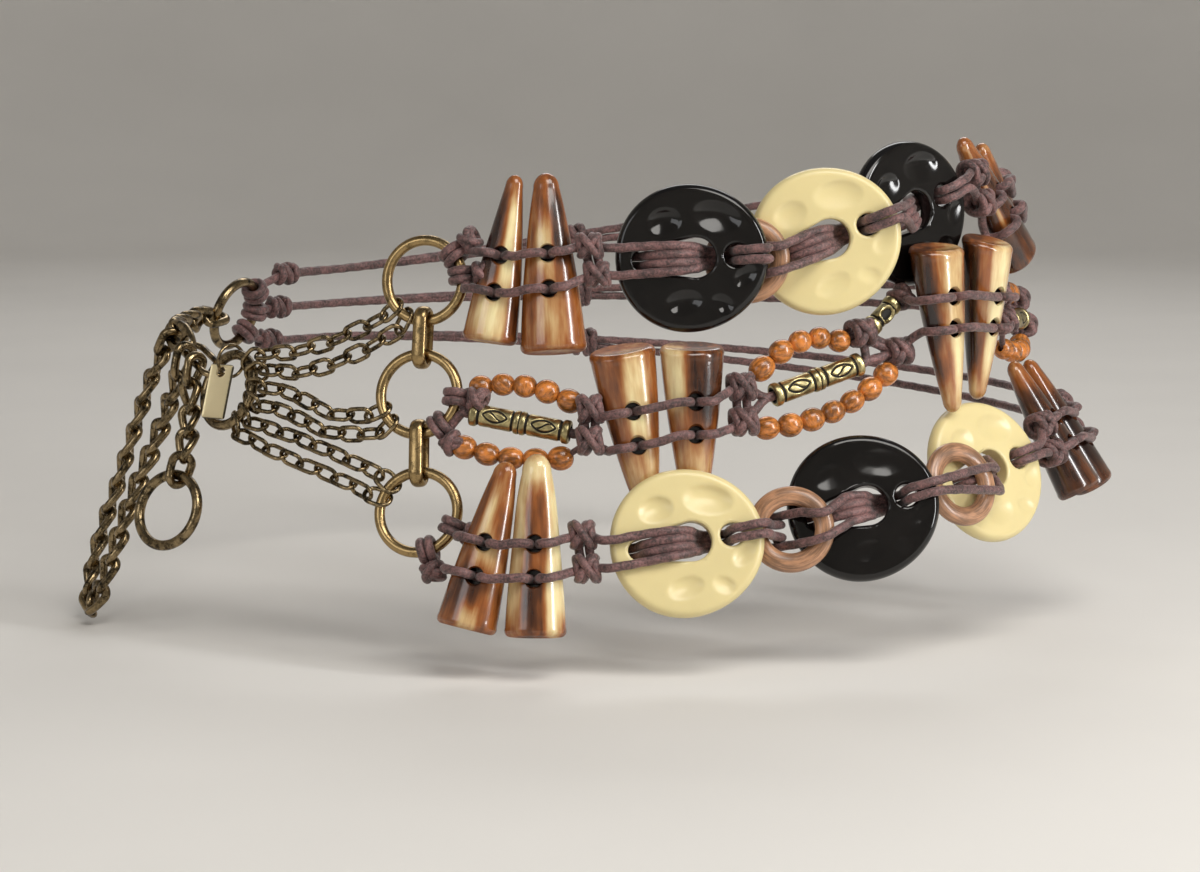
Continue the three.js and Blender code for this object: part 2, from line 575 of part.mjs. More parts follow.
// Over a wood ring's right wire. A cord that goes straight down from there first passes the ring's outer edge.
const overRing = (name, goesDown = false) => {
  const proud = WOOD_RING.wire * WOOD_RING.flatness + CORD.radius + 2.5 * GAP;
  const places = [{ x: WOOD_RING.radius, y: 3.4, z: proud }];
  if (goesDown) places.push({ x: WOOD_RING.radius + 4, y: 3.2, z: 0.8 });
  return { points: (side) => places.map(({ x, y, z }) => on(name, x, side * y, z)) };
};

const intoRing = (name) => ({ points: (side) => [on(name, -3.6, side * 3, -0.5)] });

// Round a horn's left flank, end -1, on the way up to its hole, or down its right flank, end 1
const flank = (name, end, lowZ = -1) => {
  const row = HORNS.find((candidate) => candidate.name === name);
  const points = (side) => {
    const distance = side > 0 === row.tipUp ? row.far : row.near;
    const y = (row.tipUp ? 1 : -1) * (distance - row.length / 2);
    const half = hornHalfWidth(row, distance);
    const low = on(name, end * (half + 2.1), y, lowZ);
    const high = on(name, end * (half + 1.3), y, HORN.depthShare * half * 0.5 + 1.8);
    return end < 0 ? [low, high] : [high, low];
  };
  return { points };
};

const through = (name, { length }) => ({ bore: [-1, 1].map((end) => on(name, end * (length / 2 + 1.7), 0, 0)) });

const upperBead = (name, { length }) => ({
  points: (side) => (side > 0 ? [-1, 1].map((end) => on(name, end * (length / 2 + 1.7), 0, 0)) : []),
});

// The sections of a cord. At a knot it swells for the knot's length, measured both ways along the cord.
function cordStations(stops, extra = 0) {
  return stops.flatMap(({ point, knotted }, i) => {
    const radius = CORD.radius + extra;
    if (!knotted) return [{ point, radius }];
    const before = stops[i - 1]?.point ?? point;
    const after = stops[i + 1]?.point ?? point;
    const along = after.clone().sub(before).normalize();
    const at = (share) => point.clone().addScaledVector(along, share * KNOT.halfLength);
    return [
      { point: at(-1), radius },
      { point, radius: KNOT.radius + extra },
      { point: at(1), radius },
    ];
  });
}

// The lines of a strand's cords: one on each side, a tie across at each pair of knots, and where a tube is strung
// between two pairs of knots, the upper cord goes through it and the lower cord meets it at both ends.
function strandLines(stops) {
  const lines = [];
  const open = { upper: [], lower: [] };
  const close = () => {
    for (const row of ["upper", "lower"]) {
      if (open[row].length > 1) lines.push(open[row]);
      open[row] = [];
    }
  };
  const stations = (stop, side) => stop.points(side).map((point) => ({ point, knotted: stop.knotted }));
  stops.forEach((stop, i) => {
    if (stop.bore) {
      const [start, end] = stop.bore.map((point) => ({ point }));
      open.upper.push(start, end, ...stations(stops[i + 1], 1));
      open.lower.push(start);
      close();
      lines.push([end, ...stations(stops[i + 1], -1)]);
      return;
    }
    if (stops[i - 1]?.bore) {
      open.upper = [{ point: stop.points(1)[0] }];
      open.lower = [{ point: stop.points(-1)[0] }];
    } else {
      open.upper.push(...stations(stop, 1));
      open.lower.push(...stations(stop, -1));
    }
    if (stop.knotted && stop.points(-1).length) lines.push([{ point: stop.points(1)[0] }, { point: stop.points(-1)[0] }]);
  });
  close();
  return lines;
}

const strandStops = {
  top: [
    loops("ring_top", LADDER_RING, [42, 9]),
    flank("horn_top_1", -1, 2.8),
    horn("horn_top_1"),
    horn("horn_top_2"),
    knots({ turn: -2.3, height: 47.6 }, { turn: -1.3, height: 39.6 }, 9),
    disc("disc_top_1"),
    overRing("wood_ring_top"),
    disc("disc_top_2", -10),
    disc("disc_top_3", -6),
    knots({ turn: 62, height: 65 }, { turn: 63.4, height: 56 }, 7),
    flank("horn_top_3", -1),
    horn("horn_top_3"),
    horn("horn_top_4"),
    knots({ turn: 91, height: 60 }, { turn: 93, height: 52 }, 4),
  ],
  middle: [
    loops("ring_middle", LADDER_RING, [-3, -50]),
    through("brass_tube_1", TUBE),
    knots({ turn: -2, height: 2.2 }, { turn: -2, height: -6.4 }, 8),
    flank("horn_middle_1", -1),
    horn("horn_middle_1"),
    horn("horn_middle_2"),
    knots({ turn: 16.4, height: 7.9 }, { turn: 16.2, height: -1.6 }, 7),
    through("brass_tube_2", TUBE),
    knots({ turn: 34.6, height: 21.7 }, { turn: 40.2, height: 15.8 }, 5),
    upperBead("eye_bead", EYE_BEAD),
    upperKnot({ turn: 42.6, height: 31.2 }, 4.8),
    flank("horn_middle_3", -1),
    horn("horn_middle_3"),
    horn("horn_middle_4"),
    flank("horn_middle_4", 1),
    knots({ turn: 65.2, height: 28.7 }, { turn: 65, height: 20.5 }, 6),
    through("brass_tube_3", TUBE),
    knots({ turn: 89, height: 24 }, { turn: 89, height: 16 }, 3),
  ],
  bottom: [
    loops("ring_bottom", LADDER_RING, [-20, -70]),
    flank("horn_bottom_1", -1),
    horn("horn_bottom_1"),
    horn("horn_bottom_2"),
    knots({ turn: -2.6, height: -31.2 }, { turn: -2.1, height: -39.8 }, 8),
    disc("disc_bottom_1"),
    intoRing("wood_ring_bottom_1"),
    overRing("wood_ring_bottom_1"),
    disc("disc_bottom_2", -8),
    overRing("wood_ring_bottom_2", true),
    disc("disc_bottom_3", -1),
    knots({ turn: 63.5, height: -10.5 }, { turn: 63.2, height: -18.5 }, 8),
    flank("horn_bottom_3", -1),
    horn("horn_bottom_3"),
    horn("horn_bottom_4"),
    knots({ turn: 86, height: -8.2 }, { turn: 87, height: -16.2 }, 4),
  ],
};

const cordShape = (lines, loopShapes) => fuse([...lines.map((line) => sweep(cordStations(line), CORD.sides)), ...loopShapes]);

for (const [name, stops] of Object.entries(strandStops)) {
  const loopShapes = stops.flatMap((stop) => stop.geometries ?? []);
  add(`cord_${name}_front`, cordShape(strandLines(stops), loopShapes), MATERIALS.cord);
}

// Behind the hips each strand runs on as two plain cords, which meet in a knot and a loop at the back ring.
const BACK = { lift: 4, endTurn: 236, steps: 5, knotStep: 3 };
const BACK_STRANDS = [
  { name: "top", turn: 92, upperHeight: 60, lowerHeight: 52, endHeight: 27, ringAngle: 140 },
  { name: "middle", turn: 89, upperHeight: 24, lowerHeight: 16, endHeight: 16, ringAngle: 180 },
  { name: "bottom", turn: 86.5, upperHeight: -8.2, lowerHeight: -16.2, endHeight: 5, ringAngle: 220 },
];
for (const strand of BACK_STRANDS) {
  const startTurn = strand.turn + 4;
  const line = (startHeight) =>
    Array.from({ length: BACK.steps + 1 }, (_, i) => {
      const share = i / BACK.steps;
      const turn = THREE.MathUtils.lerp(startTurn, BACK.endTurn, share);
      const height = THREE.MathUtils.lerp(startHeight, strand.endHeight, THREE.MathUtils.smoothstep(share, 0, 1));
      return { point: pointAt({ turn, height, lift: BACK.lift }), knotted: i === BACK.knotStep };
    });
  const upper = line(strand.upperHeight);
  const lower = line(strand.lowerHeight);
  const ringLoop = loops("back_ring", CHAIN_RING, [strand.ringAngle, strand.ringAngle]);
  upper.at(-1).knotted = true;
  upper.push({ point: ringLoop.points(1)[0] });
  add(`cord_${strand.name}_back`, cordShape([upper, lower], ringLoop.geometries.slice(0, 1)), MATERIALS.cord);
}

// Curb chains. A link that hooks over a wire starts past the wire's centre by the wire, the gap and half an overlap.
const hookPast = (wire) => wire + 2 * GAP + CURB.overlap / 2;
const smoothRoute = (points) => new THREE.CatmullRomCurve3(points, false, "centripetal");
const besides = (point, up, drop) => point.clone().addScaledVector(up, -drop);

// Where a hanging chain's top link holds the long link's outer wire
const outerWire = { y: -(CLASP_LINK.width / 2 - CLASP_LINK.wire), roll: degrees(CLASP_LINK.roll) };
const onOuterWire = (x) =>
  on("clasp_link", x, outerWire.y * Math.cos(outerWire.roll) + hookPast(CLASP_LINK.wire), outerWire.y * Math.sin(outerWire.roll));
const hipsUp = axesAt(CLASP_SPOT).up;

const SWAG_WAY = [
  { turn: -80, height: 5, lift: 9.6 },
  { turn: -80.5, height: -4, lift: 9.4 },
  { turn: -80.5, height: -13, lift: 8.4 },
  { turn: -80.5, height: -23, lift: 7.2 },
  { turn: -80, height: -33, lift: 6 },
  { turn: -80, height: -42, lift: 5.5 },
  { turn: -78.5, height: -51, lift: 5 },
  { turn: -76.5, height: -59, lift: 5 },
  { turn: -73.6, height: -65, lift: 5 },
  { turn: -70.6, height: -63, lift: 5 },
  { turn: -69.8, height: -55, lift: 5 },
  { turn: -70, height: -45, lift: 5 },
  { turn: -70.5, height: -36, lift: 5 },
  { turn: -71, height: -27, lift: 5 },
  { turn: -71.2, height: -18, lift: 5 },
  { turn: -71, height: -9, lift: 5.5 },
];
const swagEnd = onOuterWire(-5.2);
const swagRoute = smoothRoute([
  on("clasp", CLASP.slotX - CLASP.slotLength / 2 + 2.3, -0.2, 0),
  ...SWAG_WAY.map(pointAt),
  besides(swagEnd, hipsUp, CURB.pitch),
  swagEnd,
]);
add("extension_chain_swag", chainGeometry(swagRoute, CURB, 90, -90), MATERIALS.darkBronze);

const tailStart = onOuterWire(2.3);
const tailEnd = onWire("end_ring", CHAIN_RING, 92, hookPast(CHAIN_RING.wire));
const tailRoute = smoothRoute([
  tailStart,
  besides(tailStart, hipsUp, 0.8 * CURB.pitch),
  pointAt({ turn: -62.6, height: -5, lift: 6 }),
  besides(tailEnd, hipsUp, -CURB.pitch),
  tailEnd,
]);
add("extension_chain_tail", chainGeometry(tailRoute, CURB, 90, -90 + END_RING_SPOT.tilt), MATERIALS.darkBronze);

// A fine chain as a round cord between two places
function addFineChain(name, points, { radius, sides }, steps) {
  const stations = smoothRoute(points).getSpacedPoints(steps).map((point) => ({ point, radius }));
  add(name, sweep(stations, sides), MATERIALS.darkBronze);
}

// The cable chains run from the gathering ring's wire to a ladder ring's wire, and stop a gap short of both.
const CABLE_CHAINS = [
  { name: "top_upper", fromAngle: 51, turn1: -44, height1: 15.6, turn2: -36.5, height2: 20.6, toAngle: 222 },
  { name: "top_lower", fromAngle: 30, turn1: -42.5, height1: 9.8, turn2: -34.5, height2: 15.4, toAngle: 244 },
  { name: "middle_upper", fromAngle: 9, turn1: -43, height1: 3.8, turn2: -35.5, height2: -1, toAngle: 205 },
  { name: "middle_lower", fromAngle: -12, turn1: -43, height1: -1.4, turn2: -35.5, height2: -6, toAngle: 228 },
  { name: "bottom_upper", fromAngle: -34, turn1: -42, height1: -7.4, turn2: -33, height2: -12, toAngle: 140 },
  { name: "bottom_lower", fromAngle: -54, turn1: -42.5, height1: -12.8, turn2: -32, height2: -18.4, toAngle: 163 },
];
const short = (size) => -(size.wire + 1.4);
for (const row of CABLE_CHAINS) {
  const ring = `ring_${row.name.split("_")[0]}`;
  const way = [
    onWire("gathering_ring", CHAIN_RING, row.fromAngle, short(CHAIN_RING)),
    pointAt({ turn: row.turn1, height: row.height1, lift: 4 }),
    pointAt({ turn: row.turn2, height: row.height2, lift: 4 }),
    onWire(ring, LADDER_RING, row.toAngle, short(LADDER_RING)),
  ];
  addFineChain(`cable_chain_${row.name}`, way, CABLE, 4);
}

// Behind the hips the extension chain is plain too.
const backWay = [
  onWire("back_ring", CHAIN_RING, 0, -(CHAIN_RING.wire + GAP)),
  pointAt({ turn: 257, height: 16, lift: 4.5 }),
  pointAt({ turn: 271, height: 14.5, lift: 6.5 }),
  on("clasp", -CLASP.length / 2 - 0.6, 0, -2),
];
addFineChain("extension_chain_back", backWay, { radius: 2.8, sides: 8 }, 5);

export default belt;
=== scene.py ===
import math
from collections import namedtuple

import bmesh
import bpy
import numpy as np
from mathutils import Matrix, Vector


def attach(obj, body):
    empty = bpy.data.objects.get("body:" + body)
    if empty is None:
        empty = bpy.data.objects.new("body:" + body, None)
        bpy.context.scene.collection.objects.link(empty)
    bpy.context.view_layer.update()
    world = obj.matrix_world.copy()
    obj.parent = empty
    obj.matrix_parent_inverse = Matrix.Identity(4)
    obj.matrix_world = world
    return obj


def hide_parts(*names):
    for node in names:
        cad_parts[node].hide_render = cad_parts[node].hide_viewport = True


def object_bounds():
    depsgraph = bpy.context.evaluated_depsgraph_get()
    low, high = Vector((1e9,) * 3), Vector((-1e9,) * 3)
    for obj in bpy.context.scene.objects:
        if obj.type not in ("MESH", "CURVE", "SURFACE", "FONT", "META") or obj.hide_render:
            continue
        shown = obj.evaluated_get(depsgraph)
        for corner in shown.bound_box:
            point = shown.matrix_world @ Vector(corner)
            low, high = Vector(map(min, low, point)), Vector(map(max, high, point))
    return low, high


bl_info = {
    "name": "Hip belt",
    "version": (1, 0, 0),
    "blender": (4, 5, 0),
    "location": "3D View > Sidebar > Belt",
    "description": "Builds the looks of a three-strand hip belt around its packed frame",
    "category": "Object",
}

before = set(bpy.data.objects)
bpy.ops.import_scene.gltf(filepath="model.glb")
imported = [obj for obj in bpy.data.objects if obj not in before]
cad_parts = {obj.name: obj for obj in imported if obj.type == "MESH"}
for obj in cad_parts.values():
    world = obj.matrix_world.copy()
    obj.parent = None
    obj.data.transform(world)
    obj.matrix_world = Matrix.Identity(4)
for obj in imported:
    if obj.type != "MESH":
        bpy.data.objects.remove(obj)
CAD_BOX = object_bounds()

# Sizes are in millimetres here and become metres when a mesh is made.
MM = 0.001

# Points closer than WELD are joined, and edges shorter than SLIVER are removed. Both are in metres.
WELD, SLIVER = 2e-6, 1e-7

# The oval that the belt lies on, which widens downwards
HALF_WIDTH, FLARE, FLARE_HEIGHT, FLARE_SPAN, DEPTH_SHARE = 138, 28, -20, 60, 0.72

CORD_RADIUS = 1.3
CORD_STEP = 0.6
# The thickness of the cord in knots and of the beads' threads, as shares of a plain cord's
WRAP_SHARE, CROSSING_SHARE, THREAD_SHARE = 0.96, 0.9, 0.68
KNOT = {"spacing": 2.45, "taper": 0.25, "reach": 1.15, "largest": 3.1, "at_ring": 2.45, "at_back": 2.5}
# A loop round a ring's wire: its two turns' shift and radius, where the cord leaves it and where its knot is
LOOP = {"shift": 1.25, "radius": 2.95, "leave": 2.6, "knot": 6.2}
LADDER_RING = {"radius": 11.25, "wire": 1.5, "lift": 4.5}
CHAIN_RING = {"radius": 10.5, "wire": 1.5}
CONNECTOR = {"depth": 7, "band": 4, "wall": 1.25, "bulge": 1.9, "play": 0.9}
DISC = {"radius": 20.75, "half": 2.5, "rim": 2.1, "edge": 0.8}
SLOT = {"wide_x": 1.4, "wide": 5.5, "narrow_x": -13.3, "narrow": 2.8}
SMALL_HOLE = {"x": 12.4, "radius": 3.1}
WOOD_RING = {"radius": 9.3, "wire": 2.7, "flatness": 0.74}
HORN_DEPTH = 0.8
HORN_HOLE = {"radius": 2.3, "floor": 0.7, "flare": 0.5, "flare_depth": 1.6, "past": 1.5}
TUBE = {"length": 28.5, "collar": 3.35, "body": 3, "bore": 1.9}
EYE_BEAD = {"length": 11, "collar": 2.9, "body": 2.5, "bore": 1.9}
EYE_PLACE = {"turn": 38.7, "height": 26.3, "lift": 5, "lean": 37}
BEAD_RADIUS, BEAD_BORE = 3.35, 0.95
TAG = {"width": 8, "length": 16, "thickness": 1, "corner": 1, "hole": 1.6, "inset": 2.3}
JUMP_RING = {"radius": 4.6, "wire": 0.5}
CURB = {"pitch": 8.5, "width": 8.3, "wire": 1, "overlap": 0.35, "spare": 0.3}
CABLE = {"pitch": 6.3, "width": 5.7, "hook_width": 6.6, "stand_off": 4.2}
CLASP = {"length": 17, "height": 9.5, "thickness": 2.6, "eye_x": 5, "eye_radius": 2.3}
CLASP_PLACE = {"turn": -74, "height": 13.6, "lift": 7.8, "lean": -14, "tilt": -18}
CLASP_SLOT = {"x": -2.2, "length": 8, "height": 4.4}
CLASP_LINK = {"width": 9.4, "wire": 1, "roll": -74, "swag_x": -5.2, "tail_x": 2.3}

Horn = namedtuple("Horn", "name turn height lean base_lift tip_lift length base near far tip_up")
Disc = namedtuple("Disc", "name finish turn height lift tilt lean dents")
WoodRing = namedtuple("WoodRing", "name turn height lift tilt")
Tube = namedtuple("Tube", "name turn height lift lean")
BeadRow = namedtuple("BeadRow", "name first_turn first_height last_turn last_height bow lift count")
Knot = namedtuple("Knot", "centre along wraps radius")
BackStrand = namedtuple("BackStrand", "name start_turn upper lower end_height ring_angle")

# name, turn, height
LADDER = [
    ("ring_top", -24.9, 37.3),
    ("ring_middle", -23.7, 5.8),
    ("ring_bottom", -21.2, -25.8),
]
# name, turn, height, lift, tilt
CHAIN_RINGS = [
    ("gathering_ring", -55.6, 2.6, 4.5, 0),
    ("end_ring", -58.5, -32.5, 5.5, -15),
    ("back_ring", 248, 16, 3, 0),
]
# name, turn, height, lean, base lift, tip lift, length, base width, near hole, far hole, tip up
HORNS = [
    Horn("horn_top_1", -14, 44, -7, 7, 3, 47, 15.5, 13.5, 24, True),
    Horn("horn_top_2", -7.6, 43, 4, 8, 3, 50, 18.5, 17, 27, True),
    Horn("horn_top_3", 70.6, 56.5, 36, 7, 3, 46, 16, 16, 25.5, True),
    Horn("horn_top_4", 82.5, 54.5, 29, 5, 1, 42, 16, 16, 25.5, True),
    Horn("horn_middle_1", 3.2, -3, 9, 8.6, 1.8, 45, 18.5, 17.5, 27, False),
    Horn("horn_middle_2", 10.2, -2.6, 0, 8.6, 1.8, 45, 18, 15.5, 24.5, False),
    Horn("horn_middle_3", 46, 20, 2, 15.8, 10.4, 47, 17, 14.5, 23.5, False),
    Horn("horn_middle_4", 57, 22, -5, 14.8, 2.6, 46, 17, 16, 25, False),
    Horn("horn_bottom_1", -12.6, -34.3, -12, 7.5, 9.9, 47, 17, 14.5, 24, True),
    Horn("horn_bottom_2", -7.4, -34, 1, 7.5, 9.9, 50, 17, 15.5, 25, True),
    Horn("horn_bottom_3", 68.8, -11, 6, 7, 3, 43, 16, 14, 23, True),
    Horn("horn_bottom_4", 78, -12, 6, 6, 3, 43, 16, 14, 23, True),
]
# horn, across, half-width of the band, from, to, tone: across is -1 to 1 from left to right,
# from and to are shares of the length from the base, and a tone is 0 for dark, 0.5 for amber, 1 for cream
HORN_BANDS = [
    ("horn_top_1", -0.75, 0.45, 0.3, 0.95, 0.05),
    ("horn_top_1", 0.25, 0.35, 0.3, 0.85, 0.95),
    ("horn_top_1", -0.1, 0.7, 0, 0.3, 0.9),
    ("horn_top_1", 0.85, 0.35, 0, 0.4, 0.2),
    ("horn_top_2", 0.5, 0.4, 0.5, 0.95, 0.05),
    ("horn_top_2", -0.2, 0.35, 0.4, 0.7, 0.8),
    ("horn_top_2", 0, 0.6, 0, 0.35, 0.6),
    ("horn_top_3", 0, 1.5, 0, 0.7, 0.1),
    # The next band, pale along horn_top_3's centre-right, is a painted highlight streak.
    ("horn_top_3", 0.3, 0.15, 0.35, 0.95, 0.66),
    ("horn_top_4", 0, 1.5, 0, 0.7, 0.15),
    ("horn_middle_1", 0.25, 0.4, 0.05, 0.6, 0.9),
    ("horn_middle_1", 0, 1, 0.65, 1, 0.75),
    ("horn_middle_2", -0.55, 0.35, 0, 0.4, 0.97),
    ("horn_middle_2", 0.45, 0.6, 0, 0.5, 0.12),
    ("horn_middle_2", 0, 1, 0.65, 1, 0.75),
    ("horn_middle_3", -0.55, 0.5, 0, 0.8, 0.04),
    ("horn_middle_3", 0.1, 0.2, 0, 0.45, 0.5),
    ("horn_middle_3", 0.6, 0.35, 0, 0.6, 0.85),
    ("horn_middle_3", 0, 0.4, 0.55, 0.95, 0.38),
    ("horn_middle_3", 0.75, 0.3, 0.5, 1, 0.97),
    ("horn_middle_4", -0.6, 0.45, 0, 0.8, 0.02),
    ("horn_middle_4", 0.05, 0.3, 0, 0.5, 0.42),
    ("horn_middle_4", 0.65, 0.35, 0, 0.9, 0.97),
    ("horn_bottom_1", -0.3, 0.3, 0.5, 0.8, 0.85),
    ("horn_bottom_1", 0.1, 0.5, 0.35, 0.5, 0.75),
    ("horn_bottom_1", 0, 0.35, 0, 0.14, 0.95),
    ("horn_bottom_1", -0.2, 0.6, 0.15, 0.35, 0.15),
    ("horn_bottom_2", 0, 1.5, 0.82, 1, 0.9),
    ("horn_bottom_2", 0, 0.42, 0.42, 0.82, 0.3),
    ("horn_bottom_2", 0.85, 0.35, 0.1, 0.85, 0.97),
    ("horn_bottom_2", -0.8, 0.3, 0.1, 0.85, 0.85),
    ("horn_bottom_2", -0.1, 0.4, 0, 0.3, 0.15),
    ("horn_bottom_2", 0.55, 0.25, 0, 0.35, 0.95),
    ("horn_bottom_3", 0, 1.5, 0, 0.75, 0.05),
    ("horn_bottom_4", 0, 1.5, 0, 0.75, 0.05),
]
# name, finish, turn, height, lift, tilt, lean, depth of the dents
DISCS = [
    Disc("disc_top_1", "black", 10.8, 44, 9.5, 12, 2, 1.1),
    Disc("disc_top_2", "cream", 29.6, 48, 9.6, 21, 18, 0.7),
    Disc("disc_top_3", "black", 46.2, 55, 5, -2, 20, 0.8),
    Disc("disc_bottom_1", "cream", 8.2, -33.5, 9, 4, 8, 1.15),
    Disc("disc_bottom_2", "black", 28.4, -26.4, 9.6, 20, 8, 0.4),
    Disc("disc_bottom_3", "cream", 49.3, -19.4, 5, 0, 10, 0.8),
]
# x, y, half-length, half-height, turned, depth
DENTS = [
    (-6.8, 10, 5.2, 4, 8, 1.2),
    (7.6, 10.4, 7.4, 4.6, -16, 1.4),
    (14.8, -6.2, 4, 2.7, 35, 0.8),
    (-2.4, -12.4, 5.6, 3.4, 8, 1),
    (8, -13.4, 3.6, 2.6, -30, 0.7),
]
# name, turn, height, lift, tilt
WOOD_RINGS = [
    WoodRing("wood_ring_top", 18.6, 43.2, 7, 26),
    WoodRing("wood_ring_bottom_1", 19.8, -30.7, 7.8, 19),
    WoodRing("wood_ring_bottom_2", 42, -22.8, 11, -1),
]
# name, turn, height, lift, lean
TUBES = [
    Tube("brass_tube_1", -10.4, -1.2, 4.4, -10),
    Tube("brass_tube_2", 27, 9.5, 4.4, 16),
    Tube("brass_tube_3", 77, 20, 1.5, -3),
]
# row, where its thread starts and ends: turn, height, lift
THREAD_ENDS = {
    "bead_row_1_upper": [(-18.6, 6, 5), (-2, 2.2, 8)],
    "bead_row_1_lower": [(-20, -3.4, 5), (-2, -6.4, 8)],
    "bead_row_2_upper": [(16.4, 7.9, 7), (34.6, 21.7, 5)],
    "bead_row_2_lower": [(16.2, -1.6, 7), (40.2, 15.8, 5)],
    "bead_row_3_upper": [(65.2, 28.7, 6), (89, 24, 3)],
    "bead_row_3_lower": [(65, 20.5, 6), (89, 16, 3)],
}
# name, first turn, first height, last turn, last height, bow, lift, count
BEAD_ROWS = [
    BeadRow("bead_row_1_upper", -15.8, 8.4, -4.6, 5, 2.2, 3.7, 5),
    BeadRow("bead_row_1_lower", -17, -8, -5.4, -10.4, -1.4, 3.7, 5),
    BeadRow("bead_row_2_upper", 19.8, 13.2, 31.4, 20, 3.7, 3.7, 5),
    BeadRow("bead_row_2_lower", 19.4, -3, 37.8, 10, -2.9, 3.7, 7),
    BeadRow("bead_row_3_upper", 68.8, 28, 84.6, 27, 0.6, 2, 5),
    BeadRow("bead_row_3_lower", 69.8, 13, 84.2, 12, -1.4, 0.6, 5),
]
# name, angle on the gathering ring, turn, height, turn, height, angle on the ladder's ring
CABLE_CHAINS = [
    ("top_upper", 51, -44, 15.6, -36.5, 20.6, 222),
    ("top_lower", 30, -42.5, 9.8, -34.5, 15.4, 244),
    ("middle_upper", 9, -43, 3.8, -35.5, -1, 205),
    ("middle_lower", -12, -43, -1.4, -35.5, -6, 228),
    ("bottom_upper", -34, -42, -7.4, -33, -12, 140),
    ("bottom_lower", -54, -42.5, -12.8, -32, -18.4, 163),
]
# turn, height, lift
SWAG_WAY = [
    (-80, 5, 9.6),
    (-80.5, -4, 9.4),
    (-80.5, -13, 8.4),
    (-80.5, -23, 7.2),
    (-80, -33, 6),
    (-80, -42, 5.5),
    (-78.5, -51, 5),
    (-76.5, -59, 5),
    (-73.6, -65, 5),
    (-70.6, -63, 5),
    (-69.8, -55, 5),
    (-70, -45, 5),
    (-70.5, -36, 5),
    (-71, -27, 5),
    (-71.2, -18, 5),
    (-71, -9, 5.5),
]
# strand, start turn, upper height, lower height, end height, angle on the back ring
BACK_STRANDS = [
    BackStrand("top", 96, 60, 52, 27, 140),
    BackStrand("middle", 93, 24, 16, 16, 180),
    BackStrand("bottom", 90.5, -8.2, -16.2, 5, 220),
]
# Where the back strands end, and how far their cords reach under the front's last knots
BACK_END_TURN, BACK_OVERLAP, BACK_LIFT = 236, 4.5, 4

# Half-widths of a slim horn and of a blunt one, as shares of the base's, at shares of the length
SLIM_HORN = {
    "along": [0, 0.2, 0.42, 0.6, 0.71, 0.86, 0.93, 1],
    "half": [1, 0.91, 0.79, 0.63, 0.53, 0.39, 0.32, 0.25],
}
BLUNT_HORN = {
    "along": [0, 0.1, 0.33, 0.53, 0.72, 0.86, 0.93, 1],
    "half": [1, 0.97, 0.87, 0.76, 0.66, 0.54, 0.44, 0.33],
}
# How blunt each horn bead is, where it isn't halfway
BLUNTNESS = {"horn_top_1": 0, "horn_middle_3": 0.2, "horn_middle_4": 0.2, "horn_bottom_2": 1}
# The tone of a horn bead, the painted shade inside its holes, the tone of its tip, and the tips that differ
BODY_TONE, PAINTED_HOLE_SHADE, TIP_TONE = 0.38, -0.2, 0.46
TIP_TONES = {"horn_bottom_2": 0.85, "horn_middle_3": 0.75, "horn_middle_4": 0.75}

# The way of a cord past a disc, in the disc's frame: over the rim, down the slot, behind, up the small hole
# x, distance from the middle, z
DISC_WAY = [
    (-21.5, 3.8, 4.1),
    (-13, 3.75, 4),
    (-4, 3.5, 4),
    (1.2, 3, 1.2),
    (4.8, 2, -4.2),
    (11, 1.3, -4.4),
    (13.2, 1.4, 3.2),
    (16, 1.4, 4.2),
    (21.6, 1.5, 4.1),
]
# The inner cords of a slot come up through its narrow end.
INNER_WAY = [
    (-17, 1.3, -4.4),
    (-13.6, 1.3, -1.5),
    (-10.6, 1.25, 3),
    (-5, 1.2, 4.1),
    (0, 1.15, 2.2),
    (3.4, 1, -3.8),
    (9, 0.9, -4.6),
]
# The way of a cord into a wooden ring and behind its left wire, and the way of the next one out of it
RING_DIVE = [(-5, 1.5, 1.2), (-2.6, 1.8, -2.2), (-4.5, 2.2, -4.2)]
RING_RISE = [(-8, 4.2, -4), (-3.4, 4.2, -2.4), (3, 4.2, 1.6)]

# The stage, in millimetres for the floor and in metres for the rest
FLOOR = {"flat": 1300, "bend": 500, "wall": 2600}
CAMERA = {"location": (-0.002, -0.9903, 0.1222), "aim": (-0.002, 0, -0.017), "sensor": 36}
LIGHT_AIM = (0, -0.05, 0)
SURROUND_COLOUR = (0.93, 0.95, 1, 1)
# name, place, width and height, power as a share of the main light's, colour
LIGHTS = [
    ("key", (0.35, -0.75, 1.0), (0.8, 0.5), 1, (1, 0.97, 0.92)),
    ("fill", (-0.8, -0.9, 0.45), (0.5, 0.5), 0.2, (0.95, 0.97, 1)),
    ("strip", (0.72, -0.5, 0.3), (0.1, 0.6), 0.5625, (1, 1, 1)),
    ("rear", (0.1, 0.9, 0.8), (0.8, 0.4), 0.375, (1, 1, 1)),
]


def unit(v):
    """A vector, or each row of vectors, at length 1."""
    return v / np.linalg.norm(v, axis=-1, keepdims=True)


def flare_at(height):
    """A hyperbolic tangent that goes from -1 below the oval's steepest part to 1 above it."""
    return np.tanh((height - FLARE_HEIGHT) / FLARE_SPAN)


def axes_at(turn, height):
    """The directions round the oval, up it and out of it."""
    angle, height = np.broadcast_arrays(np.radians(turn), np.asarray(height, float))
    slope = -FLARE / FLARE_SPAN * (1 - flare_at(height) ** 2)
    out = unit(np.stack([np.sin(angle), -np.cos(angle) / DEPTH_SHARE, -slope], -1))
    around = unit(np.stack([np.cos(angle), DEPTH_SHARE * np.sin(angle), 0 * angle], -1))
    return around, np.cross(out, around), out


